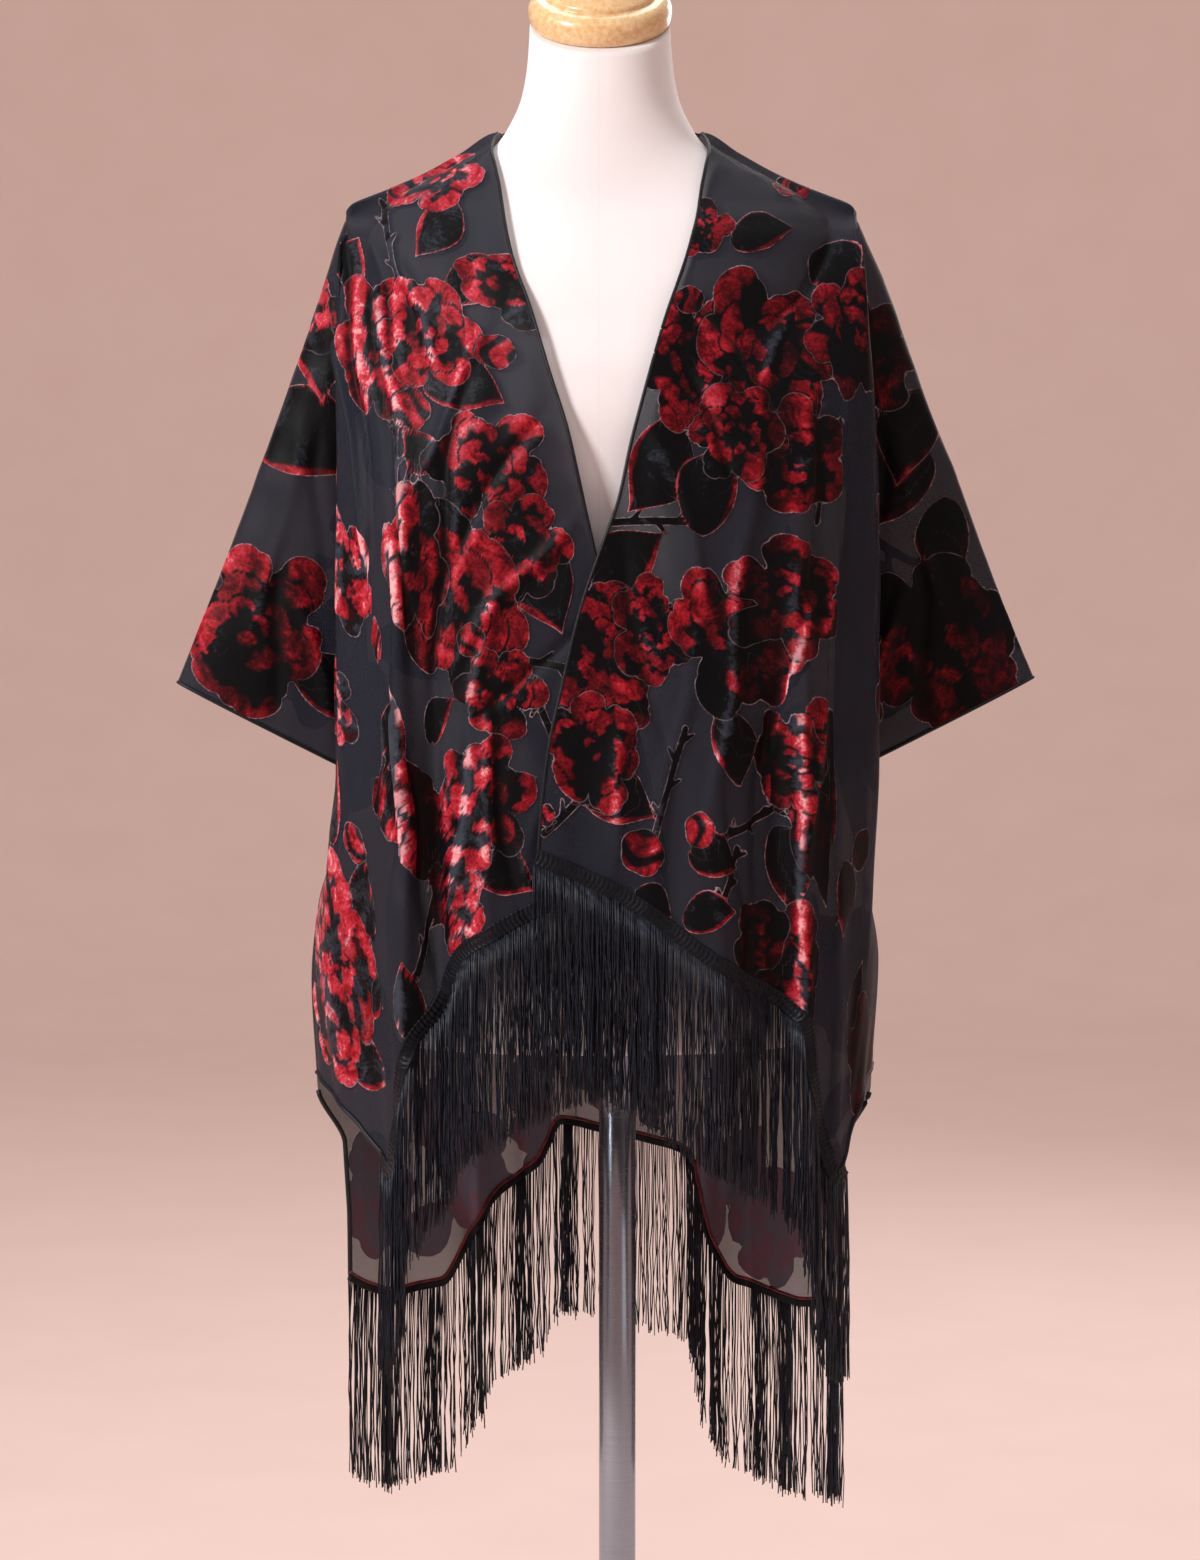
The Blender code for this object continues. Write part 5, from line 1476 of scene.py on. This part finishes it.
LEFT_PATTERN = Pattern((
    Motif(S, 0.027, 1.098, 0.085, 3, 0.4), Motif(S, 0.044, 0.899, 0.095, 78, 0.7),
    Motif(S, 0.119, 0.875, 0.085, 12, 0.8), Motif(S, 0.097, 0.830, 0.06, 62, 0.6),
    Motif(S, 0.184, 1.138, 0.08, 80, 0.5), Motif(S, -0.036, 0.888, 0.07, 40, 0.4),
    Motif(S, 0.283, 0.831, 0.07, 60, 0.5), Motif(L, 0.120, 1.335, 0.06, 14, 1),
    Motif(L, 0.190, 1.294, 0.07, -45, 1.05), Motif(L, 0.025, 1.141, 0.082, 238, 1.15),
    Motif(L, 0.082, 1.125, 0.078, 58, 1.15), Motif(L, 0.010, 1.066, 0.074, 44, 1.15),
    Motif(L, 0.101, 0.928, 0.062, -72, 1.1), Motif(L, 0.001, 0.887, 0.066, -18, 1.1),
    Motif(L, 0.088, 0.846, 0.05, -14, 1.1), Motif(L, 0.084, 0.805, 0.052, 8, 1),
    Motif(L, 0.160, 0.836, 0.072, -78, 1), Motif(L, 0.277, 0.814, 0.066, -70, 1),
    Motif(L, 0.344, 0.734, 0.066, 80, 1), Motif(L, 0.031, 0.813, 0.04, -30, 1),
    Motif(L, 0.360, 0.917, 0.05, 60, 1), Motif(L, 0.278, 1.178, 0.06, -60, 1),
    Motif(B, 0.065, 1.341, 0.03, 60, 0.9), Motif(B, 0.060, 1.225, 0.05, 10, 1.2),
    Motif(B, 0.126, 1.235, 0.064, 15, 1.15), Motif(B, 0.153, 1.150, 0.046, 70, 1.2),
    Motif(B, 0.098, 1.171, 0.044, 30, 1), Motif(B, -0.017, 1.001, 0.058, 60, 1.25),
    Motif(B, 0.030, 1.018, 0.04, 10, 1.1), Motif(B, -0.022, 0.927, 0.044, 30, 1.1),
    Motif(B, 0.106, 1.012, 0.056, 40, 1.35), Motif(B, 0.150, 1.042, 0.048, 80, 1.4),
    Motif(B, 0.356, 1.031, 0.058, 10, 1.5), Motif(B, 0.345, 0.971, 0.042, 50, 1.4),
    Motif(B, 0.199, 0.891, 0.044, 10, 1.8), Motif(B, 0.161, 0.922, 0.036, 40, 1.3),
    Motif(B, 0.169, 0.763, 0.046, 20, 1.2), Motif(B, 0.136, 0.786, 0.034, 10, 1),
    Motif(B, 0.384, 0.687, 0.05, 50, 1.3), Motif(B, 0.205, 1.243, 0.044, 20, 1.3),
    Motif(B, 0.149, 1.396, 0.02, 0, 1), Motif(B, 0.318, 1.102, 0.04, 70, 1.3),
    Motif(D, 0.020, 0.852, 0.018, 70, 1.15), Motif(D, -0.060, 0.877, 0.009, 80, 0.8),
    Motif(D, 0.073, 0.870, 0.014, 10, 1), Motif(D, 0.302, 0.852, 0.017, 60, 1),
    Motif(D, 0.055, 1.277, 0.013, 20, 1),
))
BACK_PATTERN = Pattern((
    Motif(S, -0.060, 1.250, 0.15, 60), Motif(S, 0.130, 1.150, 0.15, 100), Motif(S, -0.100, 0.980, 0.14, 40),
    Motif(S, 0.070, 0.900, 0.14, 120), Motif(S, -0.020, 0.740, 0.13, 70), Motif(S, 0.150, 0.640, 0.12, 40),
    Motif(L, -0.030, 1.330, 0.080, 20), Motif(L, 0.165, 1.240, 0.082, -60),
    Motif(L, -0.185, 1.160, 0.080, 110), Motif(L, -0.020, 1.150, 0.084, 200),
    Motif(L, 0.080, 1.100, 0.080, 60), Motif(L, -0.175, 0.990, 0.080, -30),
    Motif(L, 0.195, 0.920, 0.080, 80), Motif(L, -0.040, 0.900, 0.078, 140),
    Motif(L, 0.030, 0.850, 0.076, -20), Motif(L, -0.190, 0.740, 0.080, 60),
    Motif(L, 0.100, 0.700, 0.078, 160), Motif(L, -0.080, 0.640, 0.076, 20),
    Motif(L, 0.200, 0.580, 0.076, 60), Motif(L, -0.210, 0.620, 0.072, 100),
    Motif(L, 0.020, 1.370, 0.056, 90), Motif(L, -0.300, 0.830, 0.080, 70),
    Motif(L, 0.300, 0.860, 0.080, 110), Motif(L, -0.300, 1.060, 0.075, 40),
    Motif(L, 0.290, 1.090, 0.075, 130), Motif(L, -0.240, 0.530, 0.066, 200),
    Motif(L, 0.310, 0.640, 0.066, 80), Motif(L, -0.010, 1.010, 0.070, 100),
    Motif(L, 0.060, 1.200, 0.070, 130), Motif(L, -0.130, 1.220, 0.068, 60),
    Motif(L, 0.110, 0.930, 0.068, -30), Motif(L, -0.090, 0.780, 0.066, 100),
    Motif(L, 0.180, 0.660, 0.060, 10), Motif(B, -0.110, 1.340, 0.064, 20, 1.05),
    Motif(B, 0.085, 1.290, 0.066, 60, 1.15), Motif(B, 0.165, 1.330, 0.044, 30, 1.1),
    Motif(B, -0.055, 1.235, 0.040, 30, 1.1), Motif(B, -0.105, 1.090, 0.070, 10, 1.15),
    Motif(B, 0.150, 1.035, 0.068, 50, 1.2), Motif(B, 0.022, 0.985, 0.052, 0, 1.1),
    Motif(B, -0.125, 0.860, 0.068, 35, 1.2), Motif(B, 0.110, 0.800, 0.066, 80, 1.15),
    Motif(B, -0.050, 0.750, 0.050, 10, 1.1), Motif(B, 0.200, 0.770, 0.048, 10, 1.2),
    Motif(B, -0.165, 0.575, 0.058, 60, 1.15), Motif(B, 0.140, 0.560, 0.056, 20, 1.1),
    Motif(B, 0.020, 0.660, 0.050, 20, 1.1), Motif(B, -0.235, 0.930, 0.050, 20, 1.3),
    Motif(B, -0.225, 1.250, 0.050, 20, 1.3), Motif(B, 0.230, 1.190, 0.052, 20, 1.3),
    Motif(B, -0.300, 0.560, 0.058, 20, 1.0), Motif(B, 0.235, 0.530, 0.056, 40, 1.0),
    Motif(B, -0.290, 0.700, 0.055, 60, 1.2), Motif(B, 0.290, 0.740, 0.055, 10, 1.2),
    Motif(B, -0.330, 0.940, 0.050, 10, 1.3), Motif(B, 0.320, 0.980, 0.052, 10, 1.3),
    Motif(B, 0.320, 0.560, 0.040, 10, 1.2), Motif(B, -0.080, 0.600, 0.036, 10, 1.1),
    Motif(D, 0.010, 1.235, 0.018, 20), Motif(D, -0.170, 1.250, 0.018, 50), Motif(D, 0.200, 1.130, 0.017, 0),
    Motif(D, -0.030, 1.065, 0.018, 30), Motif(D, -0.205, 0.920, 0.017, 60),
    Motif(D, 0.060, 0.725, 0.017, 10),
))
RIGHT_SLEEVE_PATTERN = Pattern((
    Motif(S, 0.262, -0.060, 0.10, 50), Motif(S, 0.120, 0.080, 0.09, 60), Motif(S, 0.180, -0.090, 0.10, 20),
    Motif(L, 0.176, 0.034, 0.104, 82, 1.1), Motif(L, 0.110, 0.020, 0.070, 30, 1.0),
    Motif(L, 0.135, -0.060, 0.085, 70, 1.0), Motif(L, 0.240, 0.125, 0.080, 80, 1.0),
    Motif(L, 0.350, 0.118, 0.075, 60, 1.0), Motif(B, 0.322, 0.046, 0.066, 25, 1.0),
    Motif(B, 0.080, -0.005, 0.036, 10, 1.2), Motif(B, 0.325, -0.090, 0.058, 55, 1.05),
    Motif(B, 0.205, -0.135, 0.045, 55, 1.05), Motif(D, 0.060, 0.040, 0.018, 80),
    Motif(D, 0.300, 0.130, 0.018, 0),
))
LEFT_SLEEVE_PATTERN = Pattern((
    Motif(S, 0.252, 0.110, 0.10, 50), Motif(S, 0.240, -0.060, 0.11, 40),
    Motif(L, 0.205, 0.060, 0.100, 70, 1.15), Motif(L, 0.175, 0.020, 0.080, 40, 1.0),
    Motif(L, 0.150, -0.060, 0.090, 60, 1.0), Motif(L, 0.260, 0.020, 0.070, 10, 1.0),
    Motif(L, 0.065, 0.030, 0.060, -10, 1.0), Motif(B, 0.330, 0.052, 0.068, 75, 1.1),
    Motif(B, 0.105, 0.030, 0.044, 10, 1.3), Motif(B, 0.310, -0.090, 0.060, 25, 1.05),
    Motif(B, 0.190, 0.128, 0.042, 55, 1.05), Motif(D, 0.140, 0.080, 0.018, 20),
    Motif(D, 0.360, 0.130, 0.018, 0),
))

LEFT_SLEEVE = Table(rows(
    # part of the way, upper fold x and z, lower edge x and z, half thickness
    (0.000, 0.2010, 1.3290, 0.1955, 1.1030, 0.0315), (0.060, 0.2070, 1.3130, 0.1970, 1.0920, 0.0310),
    (0.150, 0.2159, 1.2900, 0.1980, 1.0720, 0.0300), (0.300, 0.2340, 1.2407, 0.1970, 1.0380, 0.0280),
    (0.450, 0.2520, 1.1900, 0.1950, 1.0080, 0.0250), (0.600, 0.2745, 1.1350, 0.1945, 0.9780, 0.0215),
    (0.750, 0.2965, 1.0750, 0.1940, 0.9480, 0.0180), (0.900, 0.3200, 1.0150, 0.1935, 0.9200, 0.0150),
    (1.000, 0.3350, 0.9800, 0.1930, 0.9070, 0.0140),
))
RIGHT_SLEEVE = Table(rows(
    (0.000, 0.1990, 1.3290, 0.1920, 1.1030, 0.0315), (0.060, 0.2040, 1.3130, 0.1925, 1.0910, 0.0310),
    (0.150, 0.2110, 1.2850, 0.1900, 1.0700, 0.0300), (0.300, 0.2280, 1.2340, 0.1900, 1.0380, 0.0280),
    (0.450, 0.2460, 1.1840, 0.1900, 1.0080, 0.0250), (0.600, 0.2660, 1.1300, 0.1895, 0.9780, 0.0215),
    (0.750, 0.2880, 1.0720, 0.1890, 0.9480, 0.0180), (0.900, 0.3120, 1.0120, 0.1885, 0.9180, 0.0150),
    (1.000, 0.3265, 0.9760, 0.1880, 0.9050, 0.0140),
))


@dataclass
class Cardigan:
    """The garment: three panels, two sleeves, rolled edges and the fringe."""

    left_corner: float = 0.1838
    right_corner: float = 0.1640
    roll: float = 0.0013
    slit_roll: float = 0.0019

    def build(self) -> dict[str, Piece]:
        """Makes every piece of the garment.

        Returns:
            The pieces by name.
        """
        cloth = (DevoreCloth().right_side(), DevoreCloth().wrong_side())
        hem = RayonCord(dark="#05060a", light="#15171f", name="chiffon_edge_rolled_and_stitched").make()
        cord = RayonCord().make()
        braid = RayonCord(dark="#030409", light="#10131d", twist=0.0035, gloss=0.16,
                          name="rayon_gimp_braided").make()
        left = Panel("left_front", "kimono_front_left", (LEFT_WIDTHS,), LEFT_HEM, LEFT_FOLDS, LEFT_CREASES,
                     LEFT_PATTERN, side=1, columns=148, lines=312, flat=(0.36, 0.76), flat_area=0.185)
        right = Panel("right_front", "kimono_front_right", (RIGHT_WIDTHS,), RIGHT_HEM, RIGHT_FOLDS,
                      RIGHT_CREASES, RIGHT_PATTERN, side=-1, columns=148, lines=312, flat=(0.36, 0.76),
                      flat_area=0.185)
        back = Panel("back", "kimono_back", (RIGHT_WIDTHS, LEFT_WIDTHS), BACK_HEM, BACK_FOLDS, BACK_CREASES,
                     BACK_PATTERN, side=0, columns=164, lines=240, flat=(0.62, 0.94), flat_area=0.49)
        made: dict[str, Piece] = {}
        made["left_front"], left_grid = left.build(cloth)
        made["right_front"], right_grid = right.build(cloth)
        made["back"], back_grid = back.build(cloth)
        sleeves = (
            Sleeve("left_sleeve", "kimono_sleeve_left", 1, LEFT_SLEEVE, LEFT_SLEEVE_PATTERN),
            Sleeve("right_sleeve", "kimono_sleeve_right", -1, RIGHT_SLEEVE, RIGHT_SLEEVE_PATTERN),
        )
        edges = ((left_grid[:, -1], back_grid[:, -1]), (right_grid[:, -1], back_grid[:, 0]))
        for sleeve, (front_edge, back_edge) in zip(sleeves, edges):
            made[sleeve.name] = sleeve.build(front_edge, back_edge, cloth)
            cuff = sleeve.name + "_cuff"
            made[cuff] = tube(cuff, sleeve.cuff, self.roll, hem)
        made.update(self._trims(left_grid, right_grid, back_grid, hem, braid, cord))
        self._declare(made, (left, right, back, *sleeves))
        return made

    def _trims(
        self, left: FloatArray, right: FloatArray, back: FloatArray,
        hem: Finish, braid: Finish, cord: Finish,
    ) -> dict[str, Piece]:
        """Rolled edges along the fronts, neck and side slits, and the fringe along the three hems."""
        made: dict[str, Piece] = {}
        corner_left = int(np.argmin(np.abs(left[-1, :, 0] - WEAR_X - self.left_corner))) + 1
        corner_right = int(np.argmin(np.abs(right[-1, :, 0] - WEAR_X + self.right_corner))) + 1
        neck = np.abs(back[0, :, 0] - WEAR_X) < NECK_HALF_WIDTH
        edges = {
            "left_front_edge": left[:, 0],
            "right_front_edge": right[:, 0],
            "neck_edge": back[0][neck],
            "left_slit_edge": left[-1, corner_left - 1:],
            "right_slit_edge": right[-1, corner_right - 1:],
            "back_slit_left": back[:, -1][back[:, -1, 2] < SEAM_END],
            "back_slit_right": back[:, 0][back[:, 0, 2] < SEAM_END],
        }
        for name, path in edges.items():
            made[name] = tube(name, path, self.slit_roll if "slit" in name else self.roll, hem)
        turned = RayonCord(dark="#140204", light="#8c1824", name="devore_velvet_turned_at_the_hem").make()
        fold = back[-1] + 0.0030 * unit(back[-6] - back[-1]) - np.array([0.0, 0.0014, 0.0])
        made["back_hem_fold"] = tube("back_hem_fold", fold, self.roll, turned)
        hems = (
            (Fringe("front_left_fringe", "fringe_front_left", -1.0, 11), left, corner_left),
            (Fringe("front_right_fringe", "fringe_front_right", -1.0, 23), right, corner_right),
            (Fringe("back_fringe", "fringe_back", 1.0, 37, header_depth=0.0052, step=0.00088, thin=0.50),
             back, back.shape[1]),
        )
        for fringe, grid, last in hems:
            for piece in fringe.build(grid[-1, :last], grid[-6, :last], braid, cord):
                made[piece.name] = piece
        return made

    @staticmethod
    def _declare(made: dict[str, Piece], cloths: Sequence[Panel | Sleeve]) -> None:
        """Takes the pieces and the cloths and does nothing with them."""


@dataclass
class Stand:
    """The covered form with its turned cap, on a steel pole and a flat base."""

    pole_radius: float = 0.01435

    def build(self) -> dict[str, Piece]:
        """Makes the form, cap, pole and base.

        Returns:
            The pieces by name.
        """
        made: dict[str, Piece] = {}
        form = FORM.build()
        form.data.materials.append(JerseyCover().make())
        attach(form, "root")
        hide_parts("form_torso")
        made["covered_form"] = form
        steel = PolishedSteel().make()
        place = (WEAR_X, 0.0, CAP_SEAT_Z + SEAT / math.cos(CAP_TILT))
        cap = Turned("wood_cap", "form_neck_cap", self._cap(), tilt=CAP_TILT, place=place)
        made["wood_cap"] = cap.build(VarnishedBeech().make())
        low = 0.0463
        top = FORM_BOTTOM - SEAT
        pole = rows((self.pole_radius - 0.0008, low), (self.pole_radius, low + 0.0008),
                    (self.pole_radius, top - 0.0008), (self.pole_radius - 0.0008, top))
        made["steel_pole"] = Turned("steel_pole", "stand_pole", pole).build(steel)
        base = rows((0.1490, 0.0), (0.1500, 0.0010), (0.1500, 0.0070), (0.1495, 0.0090), (0.1480, 0.0105),
                    (0.1440, 0.0120), (0.0400, 0.0120), (0.0340, 0.0124), (0.0300, 0.0130), (0.0275, 0.0146),
                    (0.0260, 0.0180), (0.0260, 0.0440), (0.0255, 0.0455), (0.0240, 0.0460))
        brushed = PolishedSteel("#b9bbbf", "stainless_steel_brushed", 0.30).make()
        made["steel_base"] = Turned("steel_base", "stand_base", base, 128).build(brushed)
        return made

    @staticmethod
    def _cap() -> FloatArray:
        """The cap's turned profile, smoothed through its named sizes from the seat up to the knob."""
        sizes = rows(
            (0.0525, 0.0000), (0.0545, 0.0045), (0.0550, 0.0110), (0.0530, 0.0170), (0.0480, 0.0210),
            (0.0430, 0.0225), (0.0425, 0.0250), (0.0370, 0.0300), (0.0260, 0.0355), (0.0130, 0.0390),
            (0.0100, 0.0430), (0.0120, 0.0475), (0.0160, 0.0530), (0.0165, 0.0600), (0.0130, 0.0660),
            (0.0070, 0.0692), (0.0010, 0.0700),
        )
        place = np.arange(len(sizes), dtype=float)
        fine = np.linspace(0, len(sizes) - 1, 6 * len(sizes))
        spread = np.ones(len(fine))
        return np.stack([across(place, sizes[:, k][:, None] * spread, fine) for k in (0, 1)], axis=-1)


@dataclass
class Studio:
    """Plain floor, soft lights and the camera at the photograph's angle."""

    aim_height: float = 0.900
    camera_height: float = 1.10
    distance: float = 3.0
    lens: float = 89.528

    def build(self) -> None:
        """Sets the floor, the lights, the world's even light and the camera."""
        self._floor()
        self._light("key", (-2.4, -2.0, 2.5), (0.0, 0.0, 1.0), 0.7, 108.0)
        self._light("fill", (2.5, -2.2, 1.4), (0.0, 0.0, 0.95), 2.0, 6.0)
        self._light("overhead", (0.0, 0.6, 3.2), (0.0, 0.0, 1.0), 1.6, 26.0)
        self._light("behind", (1.4, 2.6, 2.2), (0.0, 0.0, 1.0), 1.6, 24.0)
        self._light("backdrop", (0.0, 3.2, 4.6), (0.0, 7.2, 0.9), 4.0, 42.0)
        world = bpy.data.worlds.new("studio_air")
        world.use_nodes = True
        air = world.node_tree.nodes["Background"]
        air.inputs["Color"].default_value = linear_colour("#efe6e6")
        air.inputs["Strength"].default_value = 0.58
        bpy.context.scene.world = world
        bpy.context.scene.view_settings.view_transform = "Standard"
        # Each cloth shell is two sheer walls, and shells lie one behind another, so light may pass more walls
        # than the usual eight.
        bpy.context.scene.cycles.transparent_max_bounces = 24
        self._camera()

    def _floor(self) -> None:
        """A floor that curves up all round: flat out to 5 m, then a quarter circle of 3 m, then upright."""
        angle = np.linspace(0, math.tau, 128, endpoint=False)
        bend = np.linspace(0, math.pi / 2, 24)
        radius = np.concatenate([[0.01, 0.5, 1.0, 2.0, 3.5], 5 + 3 * np.sin(bend), [8.0]])[:, None]
        height = np.concatenate([[0.0] * 5, 3 - 3 * np.cos(bend), [5.5]])[:, None]
        grid = np.stack([radius * np.cos(angle), radius * np.sin(angle), height + 0 * angle], axis=-1)
        floor = sheet_mesh("studio_floor", grid[::-1], True)
        floor.data.materials.append(PaleFloor().make())

    def _light(self, name: str, at: tuple, towards: tuple, size: float, power: float) -> None:
        """A soft square light turned towards a place."""
        data = bpy.data.lights.new(name, "AREA")
        data.size = size
        data.energy = power
        light = bpy.data.objects.new(name, data)
        light.location = at
        way = np.array(towards) - np.array(at)
        light.rotation_euler = self._turned(way)
        bpy.context.scene.collection.objects.link(light)

    @staticmethod
    def _turned(way: FloatArray) -> tuple[float, float, float]:
        """The rotation that points local -Z along a way, with local Y up."""
        flat = math.hypot(way[0], way[1])
        return (math.atan2(flat, -way[2]), 0.0, math.atan2(-way[0], way[1]))

    def _camera(self) -> None:
        """A long lens, in front of the garment's centre plane, looking slightly down."""
        data = bpy.data.cameras.new("camera")
        data.sensor_fit = "VERTICAL"
        data.sensor_height = 36.0
        data.lens = self.lens
        camera = bpy.data.objects.new("camera", data)
        camera.location = (WEAR_X, -self.distance, self.camera_height)
        way = np.array([0.0, self.distance, self.aim_height - self.camera_height])
        camera.rotation_euler = self._turned(way)
        bpy.context.scene.collection.objects.link(camera)
        bpy.context.scene.camera = camera


def main() -> None:
    """Builds the studio, the stand and the cardigan, and reports each piece."""
    logging.basicConfig(level=logging.INFO, format="%(message)s")
    Studio().build()
    pieces = Stand().build()
    pieces.update(Cardigan().build())
    for name, piece in pieces.items():
        LOG.info("%s: %d faces", name, len(piece.data.polygons))
    bpy.context.view_layer.update()


if __name__ == "__main__":
    main()
